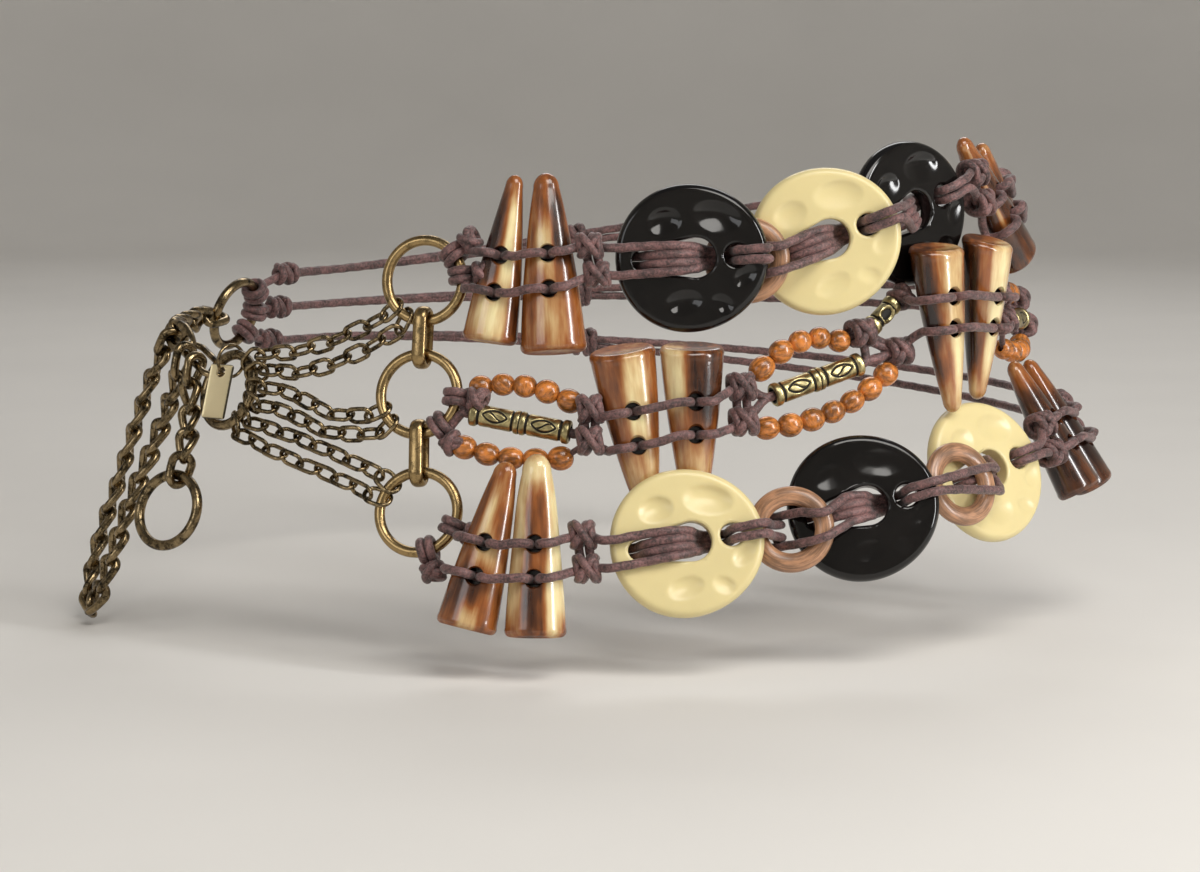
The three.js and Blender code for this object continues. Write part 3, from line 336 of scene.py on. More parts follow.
def point_at(turn, height, lift=0):
    """A point over the oval, whose half-width falls with height as a hyperbolic tangent."""
    angle, height = np.broadcast_arrays(np.radians(turn), np.asarray(height, float))
    half = HALF_WIDTH - FLARE * flare_at(height)
    surface = np.stack([half * np.sin(angle), -DEPTH_SHARE * half * np.cos(angle), height], -1)
    return surface + np.asarray(lift)[..., None] * axes_at(turn, height)[2]


def outward_from(point):
    """The direction out of the oval at a point over it."""
    turn = np.degrees(np.arctan2(point[0], -point[1] / DEPTH_SHARE))
    return axes_at(turn, point[2])[2]


def by_name(rows, name):
    """The row of a table that has this name."""
    return next(row for row in rows if row.name == name)


def rotation(axis, angle):
    """A turn about one of a frame's own axes, by an angle in degrees."""
    c, s = math.cos(math.radians(angle)), math.sin(math.radians(angle))
    first, second = [(1, 2), (2, 0), (0, 1)][axis]
    turned = np.eye(3)
    turned[[first, second], [first, second]] = c
    turned[first, second] = -s
    turned[second, first] = s
    return turned


class Frame:
    """A piece's own frame: its origin, and its axes as columns."""

    def __init__(self, origin, axes):
        self.origin = np.asarray(origin, float)
        self.axes = np.asarray(axes, float)

    def at(self, *points):
        """Points of the piece's own frame, in the belt's frame."""
        return self.origin + np.array(points if len(points) > 1 else points[0], float) @ self.axes.T

    def inside(self, points):
        return (points - self.origin) @ self.axes


def on_oval(turn, height, lift=0, lean=0, tilt=0, pitch=0):
    """A frame over the oval, turned by minus the tilt about y, the lean about z and the pitch about x."""
    axes = np.stack(axes_at(turn, height), -1)
    turned = rotation(1, -tilt) @ rotation(2, lean) @ rotation(0, pitch)
    return Frame(point_at(turn, height, lift), axes @ turned)


def between(start, end):
    """A frame midway between two points, with x along them and z as nearly outwards as it can be."""
    along = unit(end - start)
    centre = (start + end) / 2
    out = outward_from(centre)
    out = unit(out - along * (out @ along))
    return Frame(centre, np.stack([along, np.cross(out, along), out], -1))


def grid(points, wrap_rows=False, wrap_columns=False):
    """Four-sided faces over an array of points, as (points, faces)."""
    rows, columns = points.shape[:2]
    index = np.arange(rows * columns).reshape(rows, columns)
    if wrap_rows:
        index = np.concatenate([index, index[:1]], 0)
    if wrap_columns:
        index = np.concatenate([index, index[:, :1]], 1)
    corners = [index[:-1, :-1], index[:-1, 1:], index[1:, 1:], index[1:, :-1]]
    return points.reshape(-1, 3), np.stack(corners, -1).reshape(-1, 4)


def plug(across, up, depth):
    """A closed solid from an outline at each depth, with a fan of faces over each end."""
    points = np.stack([across, up, depth[:, None] + 0 * across], -1)
    ends = [np.repeat(points[k].mean(0)[None, None], points.shape[1], 1) for k in (0, -1)]
    return grid(np.concatenate([ends[0], points, ends[1]]), wrap_columns=True)


def circle(count):
    """Cosines and sines of equal steps round a circle."""
    angle = np.arange(count) * 2 * np.pi / count
    return np.cos(angle), np.sin(angle)


def lathe(radius, along, segments, closed=False):
    """A profile turned round the x axis: each row is a circle of that radius at that place along x."""
    c, s = circle(segments)
    radius = np.asarray(radius, float)
    across = radius[:, None] if radius.ndim == 1 else radius
    rows = np.asarray(along, float)[:, None] + 0 * across * c
    return grid(np.stack([rows, across * c, across * s], -1), wrap_rows=closed, wrap_columns=True)


def torus(radius, wire, segments=72, sides=20, flatness=1):
    """A ring round the z axis: a circle of the wire's radius carried round a circle of the ring's radius."""
    u, v = circle(segments), circle(sides)
    reach = radius + wire * v[0]
    height = np.broadcast_to(wire * flatness * v[1], (segments, sides))
    points = np.stack([u[0][:, None] * reach, u[1][:, None] * reach, height], -1)
    return grid(points, wrap_rows=True, wrap_columns=True)


def placed(place, surface):
    """A surface moved from a piece's own frame into the belt's."""
    return place.at(surface[0]), surface[1]


def smooth_path(points, step):
    """A centripetal Catmull-Rom curve through the points, in equal steps."""
    points = np.asarray(points, float)
    ends = 2 * points[[0, -1]] - points[[1, -2]]
    q = np.concatenate([ends[:1], points, ends[1:]])
    gap = np.linalg.norm(np.diff(q, axis=0), axis=1)[:, None] ** 0.5
    a, b, c, d = q[:-3], q[1:-2], q[2:-1], q[3:]
    before, here, after = gap[:-2], gap[1:-1], gap[2:]
    leave = ((b - a) / before - (c - a) / (before + here) + (c - b) / here) * here
    arrive = ((c - b) / here - (d - b) / (here + after) + (d - c) / after) * here
    t = np.linspace(0, 1, 60, endpoint=False)[:, None, None]
    curve = (2 * t**3 - 3 * t**2 + 1) * b + (t**3 - 2 * t**2 + t) * leave
    curve = curve + (3 * t**2 - 2 * t**3) * c + (t**3 - t**2) * arrive
    curve = np.concatenate([curve.transpose(1, 0, 2).reshape(-1, 3), points[-1:]])
    length = np.concatenate([[0], np.cumsum(np.linalg.norm(np.diff(curve, axis=0), axis=1))])
    count = max(4, round(length[-1] / step) + 1)
    places = np.linspace(0, length[-1], count)
    return np.stack([np.interp(places, length, curve[:, k]) for k in range(3)], -1)


def carried(path, first):
    """The direction along a path, and two across it that turn no more than the path does."""
    along = unit(np.gradient(path, axis=0))
    side = np.empty_like(path)
    current = first
    for i, direction in enumerate(along):
        current = unit(current - direction * (current @ direction))
        side[i] = current
    return along, side, np.cross(along, side)


def sweep(path, radius, sides=12):
    """A closed solid round a path. radius is one value for each place, or one for each place and side."""
    along, side, other = carried(path, outward_from(path[0]))
    c, s = circle(sides)
    radius = np.broadcast_to(np.asarray(radius, float).reshape(len(path), -1), (len(path), sides))
    ring = side[:, None] * (c * radius)[..., None] + other[:, None] * (s * radius)[..., None]
    points = path[:, None] + ring
    first = np.repeat(path[None, :1] - along[0] * radius[0, 0] * 0.3, sides, 1)
    last = np.repeat(path[None, -1:] + along[-1] * radius[-1, 0] * 0.3, sides, 1)
    return grid(np.concatenate([first, points, last]), wrap_columns=True)


def cord_surface(path, radius, plies=3, lay=5.5):
    """A waxed cord: its radius rises and falls three times round, and that pattern turns along the cord."""
    sides = 12
    distance = np.arange(len(path)) * np.linalg.norm(path[1] - path[0])
    angle = np.arange(sides) * 2 * np.pi / sides
    twist = distance[:, None] * 2 * np.pi / lay
    return sweep(path, radius * (0.97 + 0.05 * np.cos(plies * angle - twist * plies / 3)), sides)


def oval_link(length, width, wire, start_roll=0, end_roll=0, segments=36, sides=12):
    """A ring of wire pulled out to an oval along x, and turned about x from one roll to the other."""
    u, v = circle(segments), circle(sides)
    reach = width / 2 - wire + wire * v[0]
    x = u[0][:, None] * reach + (np.sign(np.round(u[0], 6)) * (length - width) / 2)[:, None]
    y = u[1][:, None] * reach
    z = np.broadcast_to(wire * v[1], y.shape)
    share = np.clip(x / length + 0.5, 0, 1)
    roll = np.radians(start_roll + (end_roll - start_roll) * share)
    points = np.stack([x, y * np.cos(roll) - z * np.sin(roll), y * np.sin(roll) + z * np.cos(roll)], -1)
    return grid(points, wrap_rows=True, wrap_columns=True)


def mesh_of(name, surfaces):
    """One mesh in metres from several surfaces: doubled points are joined and the faces turned outwards."""
    starts = np.cumsum([0] + [len(points) for points, _ in surfaces[:-1]])
    points = np.concatenate([points for points, _ in surfaces])
    faces = np.concatenate([faces + start for (_, faces), start in zip(surfaces, starts)])
    mesh = bpy.data.meshes.new(name)
    mesh.from_pydata(points * MM, [], faces.tolist())
    work = bmesh.new()
    work.from_mesh(mesh)
    bmesh.ops.remove_doubles(work, verts=work.verts, dist=WELD)
    bmesh.ops.dissolve_degenerate(work, edges=work.edges, dist=SLIVER)
    bmesh.ops.recalc_face_normals(work, faces=work.faces)
    work.to_mesh(mesh)
    work.free()
    return mesh


def new_object(name, data):
    """A new object in the scene, at the origin."""
    made = bpy.data.objects.new(name, data)
    bpy.context.scene.collection.objects.link(made)
    return made


def carve(name, body, cutters):
    """The body's mesh with the cutters taken away."""
    solid = new_object(name, mesh_of(name, body))
    tool = new_object(name + "_cutter", mesh_of(name + "_cutter", cutters))
    cut = solid.modifiers.new("holes", "BOOLEAN")
    cut.object, cut.operation, cut.solver = tool, "DIFFERENCE", "EXACT"
    result = bpy.data.meshes.new_from_object(solid.evaluated_get(bpy.context.evaluated_depsgraph_get()))
    for spare in (solid, tool):
        bpy.data.meshes.remove(spare.data)
    return result


def vertex_places(mesh):
    """Every vertex's place, in millimetres."""
    places = np.empty(len(mesh.vertices) * 3)
    mesh.vertices.foreach_get("co", places)
    return places.reshape(-1, 3) / MM


def give(mesh, name, values):
    """Stores one number or one vector for each vertex, for a material to read."""
    values = np.asarray(values, np.float32)
    kind, field = ("FLOAT", "value") if values.ndim == 1 else ("FLOAT_VECTOR", "vector")
    mesh.attributes.new(name, kind, "POINT").data.foreach_set(field, values.ravel())


def add_piece(name, mesh, material, slot, *nodes, sharp=50):
    """A shown piece: smooth-shaded up to the sharp angle, carried by the belt, in place of its CAD nodes."""
    mesh.materials.clear()
    mesh.materials.append(material)
    mesh.shade_smooth()
    mesh.set_sharp_from_angle(angle=math.radians(sharp))
    made = new_object(name, mesh)
    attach(made, "root")
    if nodes:
        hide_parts(*nodes)


def dress(node, mesh, material, slot, sharp=50):
    """The shown piece of one CAD node, named after it."""
    add_piece(node + "_look", mesh, material, slot, node, sharp=sharp)


class Shader:
    """One material's nodes. Every value that its methods return can be added, multiplied and so on."""

    def __init__(self, name):
        self.material = bpy.data.materials.get(name) or bpy.data.materials.new(name)
        self.material.use_nodes = True
        self.tree = self.material.node_tree
        self.tree.nodes.clear()

    def node(self, kind, settings=None, values=None, output=0):
        """Any node: its settings, or a ramp's stops, its inputs' values or links, and its output."""
        made = self.tree.nodes.new(kind)
        for key, value in (settings or {}).items():
            if key == "stops":
                set_stops(made.color_ramp.elements, value)
            else:
                setattr(made, key, value)
        for key, value in (values or {}).items():
            if isinstance(value, Signal):
                self.tree.links.new(value.socket, made.inputs[key])
            else:
                made.inputs[key].default_value = value
        return Signal(self, made.outputs[output]) if made.outputs else made

    def maths(self, operation, *values):
        return self.node("ShaderNodeMath", {"operation": operation}, dict(enumerate(values)))

    def vector_maths(self, operation, *values):
        return self.node("ShaderNodeVectorMath", {"operation": operation}, dict(enumerate(values)))

    def mix(self, share, first, second):
        """A colour between two, by share."""
        colours = {0: share, 6: rgba(first), 7: rgba(second)}
        return self.node("ShaderNodeMix", {"data_type": "RGBA"}, colours, 2)

    def stored(self, name, vector=False):
        return self.node("ShaderNodeAttribute", {"attribute_name": name}, output=1 if vector else 2)

    def place(self, stretch=(1, 1, 1)):
        """The place on the object, in millimetres, stretched along each axis."""
        coordinates = self.node("ShaderNodeTexCoord", output=3)
        return self.vector_maths("MULTIPLY", coordinates, tuple(1000 * s for s in stretch))

    def noise(self, place, scale, detail=3, roughness=0.5):
        values = {"Vector": place, "Scale": scale, "Detail": detail, "Roughness": roughness}
        return self.node("ShaderNodeTexNoise", {}, values)

    def step(self, value, low, high, to_low=0, to_high=1):
        """Goes smoothly from one value to another as the input rises from low to high."""
        settings = {"interpolation_type": "SMOOTHSTEP", "clamp": True}
        values = {0: value, 1: low, 2: high, 3: to_low, 4: to_high}
        return self.node("ShaderNodeMapRange", settings, values)

    def ramp(self, value, stops):
        """A colour from a row of (place, colour) stops."""
        return self.node("ShaderNodeValToRGB", {"stops": stops}, {0: value})

    def bump(self, height, distance, strength=1):
        values = {"Height": height, "Distance": distance * MM, "Strength": strength}
        return self.node("ShaderNodeBump", {}, values)

    def finish(self, **values):
        """The surface's shader. Names take spaces in place of underscores."""
        named = {key.replace("_", " "): value for key, value in values.items()}
        shader = self.node("ShaderNodeBsdfPrincipled", {}, named)
        self.node("ShaderNodeOutputMaterial", {}, {"Surface": shader})
        return self.material


class Signal:
    """A node's output, for arithmetic."""

    def __init__(self, shader, socket):
        self.shader = shader
        self.socket = socket

    def __add__(self, other):
        return self.shader.maths("ADD", self, other)

    def __sub__(self, other):
        return self.shader.maths("SUBTRACT", self, other)

    def __mul__(self, other):
        return self.shader.maths("MULTIPLY", self, other)

    def __radd__(self, other):
        return self.shader.maths("ADD", other, self)

    def __rsub__(self, other):
        return self.shader.maths("SUBTRACT", other, self)

    def __rmul__(self, other):
        return self.shader.maths("MULTIPLY", other, self)


def set_stops(elements, stops):
    """Gives a ramp its (place, colour) stops, two of which it has from the start."""
    for place, _ in stops[2:]:
        elements.new(place)
    for element, (place, colour) in zip(elements, stops):
        element.position = place
        element.color = rgba(colour)


def linear(channel):
    """A colour channel from 0 to 255 as linear light from 0 to 1."""
    channel = channel / 255
    return channel / 12.92 if channel <= 0.04045 else ((channel + 0.055) / 1.055) ** 2.4


def rgba(colour):
    """A colour given as red, green and blue from 0 to 255, for a socket. A signal passes through."""
    return colour if isinstance(colour, Signal) else (*(linear(channel) for channel in colour), 1)


def shade(colour, share=1):
    """A chosen colour as red, green and blue from 0 to 255, darkened to a share."""
    return tuple(255 * share * channel for channel in colour)


def blend(first, second, share):
    """A colour between two chosen ones, as red, green and blue from 0 to 255."""
    return tuple(a + (b - a) * share for a, b in zip(shade(first), shade(second)))


def metal_finish(name, bright, dark, wear=0.5, rough=(0.25, 0.5), scale=0.35):
    """Old metal: dark patina, rubbed bright in patches, with fine scratches."""
    shader = Shader(name)
    patches = shader.noise(shader.place(), scale, 5, 0.62)
    grain = shader.noise(shader.place(), 3.2, 3, 0.6)
    worn = shader.step(patches + grain * 0.25, wear - 0.06, wear + 0.26)
    base = shader.mix(worn, dark, bright)
    return shader.finish(
        Base_Color=base,
        Metallic=1.0,
        Roughness=shader.step(worn, 0, 1, rough[1], rough[0]),
        Normal=shader.bump(grain, 0.05, 0.6),
    )


def horn_finish(colours):
    """Resin like horn: dark brown, amber and cream bands that run along the bead, under a clear coat, with
    painted shade inside the holes and one pale band that is a painted highlight streak.
    """
    shader = Shader("horn")
    local = shader.stored("local", True)
    streaks = shader.noise(shader.vector_maths("MULTIPLY", local, (0.55, 0.055, 0.55)), 1, 4, 0.55)
    clouds = shader.noise(shader.vector_maths("MULTIPLY", local, (0.22, 0.09, 0.22)), 1, 2, 0.5)
    fine = shader.noise(shader.vector_maths("MULTIPLY", local, (2.6, 0.16, 2.6)), 1, 3, 0.5)
    polish = shader.stored("polish")
    tone = shader.stored("tone") + (streaks - 0.5) * 0.55 + (clouds - 0.5) * 0.5 + (fine - 0.5) * 0.1
    dark, amber, cream = colours.horn_dark, colours.horn_amber, colours.horn_cream
    stops = [
        (0, shade(dark)),
        (0.2, blend(dark, amber, 0.45)),
        (0.42, shade(amber)),
        (0.58, blend(amber, cream, 0.33)),
        (0.76, blend(amber, cream, 0.66)),
        (1, shade(cream)),
    ]
    return shader.finish(
        Base_Color=shader.ramp(tone, stops),
        Roughness=shader.step(polish, 0, 1, 0.6, 0.18) + fine * 0.06,
        Subsurface_Weight=0.12,
        Subsurface_Scale=0.004,
        Subsurface_Radius=(1.0, 0.5, 0.25),
        Coat_Weight=polish * 0.6,
        Coat_Roughness=0.08,
        Normal=shader.bump(streaks, 0.12, 0.35),
    )


def black_finish(colours):
    """Glossy black resin with slow waves in its surface."""
    shader = Shader("black disc")
    waves = shader.noise(shader.place(), 0.09, 2, 0.4)
    return shader.finish(
        Base_Color=shader.mix(waves, shade(colours.black_disc, 0.3), shade(colours.black_disc)),
        Roughness=shader.step(waves, 0.3, 0.7, 0.06, 0.14),
        Normal=shader.bump(waves, 0.7, 0.5),
    )


def cream_finish(colours):
    """Cream resin with faint clouds of colour, under a thin soft coat."""
    shader = Shader("cream disc")
    clouds = shader.noise(shader.place(), 0.08, 3, 0.5)
    grain = shader.noise(shader.place(), 1.4, 3, 0.5)
    return shader.finish(
        Base_Color=shader.mix(clouds, shade(colours.cream_disc, 0.93), shade(colours.cream_disc)),
        Roughness=shader.step(grain, 0.2, 0.8, 0.3, 0.42),
        Subsurface_Weight=0.15,
        Subsurface_Scale=0.003,
        Subsurface_Radius=(1.0, 0.8, 0.5),
        Coat_Weight=0.25,
        Coat_Roughness=0.2,
        Normal=shader.bump(grain, 0.03, 0.5),
    )


def wood_finish(name, pale, dark, stretch, rough):
    """Polished wood: fine dark lines of grain over a soft change of colour."""
    shader = Shader(name)
    local = shader.stored("local", True)
    grain = shader.noise(shader.vector_maths("MULTIPLY", local, stretch), 1, 4, 0.65)
    clouds = shader.noise(shader.place(), 0.16, 2, 0.5)
    colour = shader.mix(shader.step(grain + (clouds - 0.5) * 0.6, 0.3, 0.72), dark, pale)
    return shader.finish(
        Base_Color=colour,
        Roughness=shader.step(grain, 0.2, 0.8, rough + 0.08, rough),
        Coat_Weight=0.35,
        Coat_Roughness=0.15,
        Normal=shader.bump(grain, 0.08, 0.6),
    )


def cord_finish(colours):
    """Waxed cotton cord: short fibres, darker between them, with a dull shine."""
    shader = Shader("waxed cord")
    fibres = shader.noise(shader.place(), 1.5, 4, 0.7)
    patches = shader.noise(shader.place(), 0.25, 2, 0.5)
    share = shader.step(fibres + (patches - 0.5) * 0.5, 0.3, 0.75)
    return shader.finish(
        Base_Color=shader.mix(share, shade(colours.cord, 0.38), shade(colours.cord)),
        Roughness=shader.step(fibres, 0.2, 0.8, 0.6, 0.34),
        Sheen_Weight=0.2,
        Sheen_Roughness=0.5,
        Normal=shader.bump(fibres, 0.22, 0.9),
    )


def tube_brass(colours):
    """Pale antique brass with black in its engraved hollows and painted shade in its bore: the stored relief
    is 0 in a hollow and in the bore, and 1 on top.
    """
    shader = Shader("tube brass")
    relief = shader.stored("relief")
    patches = shader.noise(shader.place(), 0.5, 4, 0.6)
    rubbed = shader.step(patches, 0.35, 0.7)
    top = shader.mix(rubbed, shade(colours.tube_brass, 0.72), shade(colours.tube_brass))
    share = shader.step(relief + (patches - 0.5) * 0.35, 0.35, 0.75)
    return shader.finish(
        Base_Color=shader.mix(share, (22, 17, 10), top),
        Metallic=shader.step(share, 0, 1, 0.4, 1.0),
        Roughness=shader.step(share, 0, 1, 0.6, 0.3),
        Normal=shader.bump(patches, 0.05, 0.5),
    )


def tag_brass(colours):
    """Satin brass that is darker along the plate's edge, where the stored relief falls to 0."""
    shader = Shader("tag brass")
    brushed = shader.noise(shader.place((0.3, 0.3, 4)), 1, 3, 0.5)
    share = shader.step(shader.stored("relief") + (brushed - 0.5) * 0.3, 0.2, 0.7)
    return shader.finish(
        Base_Color=shader.mix(share, shade(colours.tag, 0.36), shade(colours.tag)),
        Metallic=0.8,
        Roughness=shader.step(brushed, 0.2, 0.8, 0.34, 0.5),
        Normal=shader.bump(brushed, 0.04, 0.5),
    )


def ladder_brass(colours):
    bright, dark = shade(colours.brass), shade(colours.brass, 0.52)
    return metal_finish("ladder brass", bright, dark, 0.42, (0.24, 0.38))


def dark_bronze(colours):
    bright, dark = shade(colours.bronze), shade(colours.bronze, 0.24)
    return metal_finish("dark bronze", bright, dark, 0.5, (0.16, 0.32), 0.4)


def bead_wood(colours):
    pale, dark = shade(colours.bead_wood), shade(colours.bead_wood, 0.52)
    return wood_finish("bead wood", pale, dark, (0.3, 0.9, 0.9), 0.2)


def ring_wood(colours):
    pale, dark = shade(colours.ring_wood), shade(colours.ring_wood, 0.64)
    return wood_finish("ring wood", pale, dark, (1.7, 1.7, 1.7), 0.3)


def radius_of(diameter):
    """Half a diameter that is given in metres, in millimetres."""
    return diameter / MM / 2


def ladder_frames():
    return {name: on_oval(turn, height, LADDER_RING["lift"]) for name, turn, height in LADDER}


def chain_frames():
    return {name: on_oval(turn, height, lift, tilt=tilt) for name, turn, height, lift, tilt in CHAIN_RINGS}


def clasp_frame():
    return on_oval(**CLASP_PLACE)


def ring_frame(name):
    return {**ladder_frames(), **chain_frames()}[name]


def on_wire(name, angle, inside=0):
    """The wire of a ring at an angle, moved some millimetres towards the ring's centre."""
    radius = (LADDER_RING if name in ladder_frames() else CHAIN_RING)["radius"] - inside
    angle = math.radians(angle)
    return ring_frame(name).at((radius * math.cos(angle), radius * math.sin(angle), 0))


def wire_towards(name, other):
    """The point of a ring's wire that is nearest to another ring."""
    local = ring_frame(name).inside(ring_frame(other).origin)
    return on_wire(name, math.degrees(math.atan2(local[1], local[0])))


def connector_surface(inner_length):
    """A band that is rounder outside, carried round a long loop: two half circles joined by straight runs."""
    middle = CONNECTOR["depth"] / 2 - CONNECTOR["wall"] / 2
    run = inner_length / 2 - middle + CONNECTOR["wall"] / 2
    c, s = circle(64)
    shift = np.sign(np.round(c, 6)) * run
    bulge = circle(20)
    shaped = [np.sign(part) * np.abs(part) ** power for part, power in zip(bulge, (1, 0.8))]
    across = shaped[0] * CONNECTOR["wall"] / 2 * np.where(bulge[0] > 0, CONNECTOR["bulge"], 1)
    width = shaped[1] * CONNECTOR["band"] / 2
    x = shift[:, None] + c[:, None] * (middle + across)
    z = s[:, None] * (middle + across)
    return grid(np.stack([x, 0 * x + width, z], -1), wrap_rows=True, wrap_columns=True)


def build_metal(sizes, colours):
    brass, bronze = ladder_brass(colours), dark_bronze(colours)
    wire = radius_of(sizes.ring_wire)
    for name, place in ladder_frames().items():
        surface = placed(place, torus(LADDER_RING["radius"], wire))
        dress(name, mesh_of(name, [surface]), brass, "ladder_brass")
    for name, place in chain_frames().items():
        surface = placed(place, torus(CHAIN_RING["radius"], wire))
        dress(name, mesh_of(name, [surface]), bronze, "dark_bronze")
    names = [row[0] for row in LADDER]
    for above, below, name in zip(names, names[1:], ["connector_upper", "connector_lower"]):
        start, end = wire_towards(above, below), wire_towards(below, above)
        inner = np.linalg.norm(end - start) + 2 * (LADDER_RING["wire"] + CONNECTOR["play"])
        surface = placed(between(start, end), connector_surface(inner))
        dress(name, mesh_of(name, [surface]), brass, "ladder_brass")


def horn_frame(horn):
    """A horn bead's frame at the middle of its length, pitched so that its ends have their own lifts."""
    slope = math.degrees(math.atan((horn.base_lift - horn.tip_lift) / horn.length))
    lift = (horn.base_lift + horn.tip_lift) / 2
    return on_oval(horn.turn, horn.height, lift, lean=horn.lean, pitch=-slope if horn.tip_up else slope)


def way_of(horn):
    """1 where a horn bead's tip is up, and -1 where it hangs."""
    return 1 if horn.tip_up else -1


def along_horn(horn, distance):
    """The place along a horn bead's own y of a distance from its base."""
    return (distance - horn.length / 2) * way_of(horn)


def horn_half_width(horn, distance):
    """A horn bead's half-width at a distance from its base, between a slim and a blunt profile."""
    share = np.asarray(distance, float) / horn.length
    blunt = BLUNTNESS.get(horn.name, 0.5)
    slim = np.interp(share, SLIM_HORN["along"], SLIM_HORN["half"])
    wide = np.interp(share, BLUNT_HORN["along"], BLUNT_HORN["half"])
    return (slim + blunt * (wide - slim)) * horn.base / 2


def horn_profile(horn):
    """Half-widths and places along a horn bead: a hollow base, a rounded rim, the body, a rounded tip."""
    length, base_half = horn.length, horn.base / 2
    rim, hollow, nose = 1.7, 0.35, (0.07 + 0.03 * BLUNTNESS.get(horn.name, 0.5)) * horn.length
    flat = np.linspace(0, 1, 6)[:-1] * (base_half - rim)
    quarter = np.linspace(0, np.pi / 2, 7)
    rim_half = base_half - rim + rim * np.sin(quarter)
    rim_along = rim - rim * np.cos(quarter)
    body = np.linspace(rim, length - nose, 40)[1:]
    smooth = sum(horn_half_width(horn, body + shift) for shift in (-4, -2, 0, 2, 4)) / 5
    smooth = np.minimum(smooth, base_half)
    turn = np.linspace(0, np.pi / 2, 10)[1:]
    tip_half = smooth[-1] * np.cos(turn)
    tip_half[-1] = 0
    tip_along = length - nose + nose * np.sin(turn)
    half = np.concatenate([flat, rim_half, smooth, tip_half])
    sunk = hollow * (1 - (flat / horn.base * 2) ** 2)
    return half, np.concatenate([sunk, rim_along, body, tip_along])


def horn_body(horn):
    """The profile turned round the bead's y and flattened in z. A hanging bead's base is cut at a slant."""
    half, along = horn_profile(horn)
    turned, faces = lathe(half, along - horn.length / 2, 48)
    depth = HORN_DEPTH * turned[:, 2]
    slant = 0 if horn.tip_up else 0.26 * np.clip(-turned[:, 0] / horn.length * 4 - 1, 0, 1) * depth
    return np.stack([turned[:, 1], way_of(horn) * turned[:, 0] - slant, depth], -1), faces


def horn_drills(horn):
    """The cord holes, from both faces: cylinders that flare out as a parabola at the face."""
    drills = []
    for distance in (horn.near, horn.far):
        front = HORN_DEPTH * horn_half_width(horn, distance)
        depth = np.linspace(HORN_HOLE["floor"], front + HORN_HOLE["past"], 16)
        flare = np.clip((depth - front + HORN_HOLE["flare_depth"]) / HORN_HOLE["flare_depth"], 0, None) ** 2
        bore = np.concatenate([[0], HORN_HOLE["radius"] + HORN_HOLE["flare"] * flare, [0]])
        turned, faces = lathe(bore, depth[[0, *range(16), -1]], 32)
        y = along_horn(horn, distance)
        for face in (1, -1):
            drills.append((np.stack([turned[:, 1], turned[:, 2] + y, face * turned[:, 0]], -1), faces))
    return drills


def horn_tones(horn, local, share):
    """A tone for each point: the body's, the bands' within soft edges, the tip's, and painted shade inside
    the holes.
    """
    c, s = math.cos(math.radians(horn.turn)), math.sin(math.radians(horn.turn))
    half_seen = horn_half_width(horn, share * horn.length) * math.hypot(c, HORN_DEPTH * s)
    across = (local[:, 0] * c + local[:, 2] * s) / half_seen
    tone = np.full(len(local), BODY_TONE)
    for name, centre, wide, start, end, band_tone in HORN_BANDS:
        if name == horn.name:
            near_band = np.exp(-(((across - centre) / wide) ** 4))
            within = 1 / (1 + np.exp((start - share) * 28)) / (1 + np.exp((share - end) * 28))
            tone += (band_tone - tone) * near_band * within
    tip = 1 / (1 + np.exp((0.86 - share) * 40))
    tone += (TIP_TONES.get(horn.name, TIP_TONE) - tone) * tip * 0.6
    # Inside each hole the tone drops below the darkest band: painted shade.
    for distance in (horn.near, horn.far):
        reach = np.hypot(local[:, 0], local[:, 1] - along_horn(horn, distance))
        front = HORN_DEPTH * horn_half_width(horn, distance)
        in_hole = (reach < HORN_HOLE["radius"] + 0.1) & (np.abs(local[:, 2]) < front - 1.2)
        tone = np.where(in_hole, PAINTED_HOLE_SHADE, tone)
    return tone


def horn_mesh(horn):
    """A drilled horn bead with its tone, its polish, which is dull at the base, and its own place stored."""
    place = horn_frame(horn)
    cutters = [placed(place, drill) for drill in horn_drills(horn)]
    mesh = carve(horn.name, [placed(place, horn_body(horn))], cutters)
    local = place.inside(vertex_places(mesh))
    share = 0.5 + way_of(horn) * local[:, 1] / horn.length
    give(mesh, "tone", horn_tones(horn, local, share))
    give(mesh, "polish", np.clip(share * horn.length / 1.2, 0, 1))
    give(mesh, "local", local + 97.3 * HORNS.index(horn))
    return mesh


def build_horns(colours):
    look = horn_finish(colours)
    for horn in HORNS:
        dress(horn.name, horn_mesh(horn), look, "horn", sharp=38)


def disc_frame(disc):
    return on_oval(disc.turn, disc.height, disc.lift, lean=disc.lean, tilt=disc.tilt)


def disc_radius(angle):
    """A disc's outline: a circle with two and three slight lobes round it."""
    lobes = 0.018 * np.cos(2 * angle) + 0.012 * np.cos(3 * angle)
    return DISC["radius"] * (1 + lobes)


def dented(x, y):
    """How far a disc's face sinks: a smooth bowl inside each dent's ellipse, steep at its upper side."""
    sunk = 0 * x
    for dent_x, dent_y, long, high, turned, depth in DENTS:
        c, s = math.cos(math.radians(turned)), math.sin(math.radians(turned))
        u = ((x - dent_x) * c + (y - dent_y) * s) / long
        v = (-(x - dent_x) * s + (y - dent_y) * c) / high
        inside = np.clip(1 - u**2 - v**2, 0, 1)
        sunk = np.maximum(sunk, depth * inside * (1 + 0.7 * v) * (1 - (1 - inside) ** 4))
    return sunk


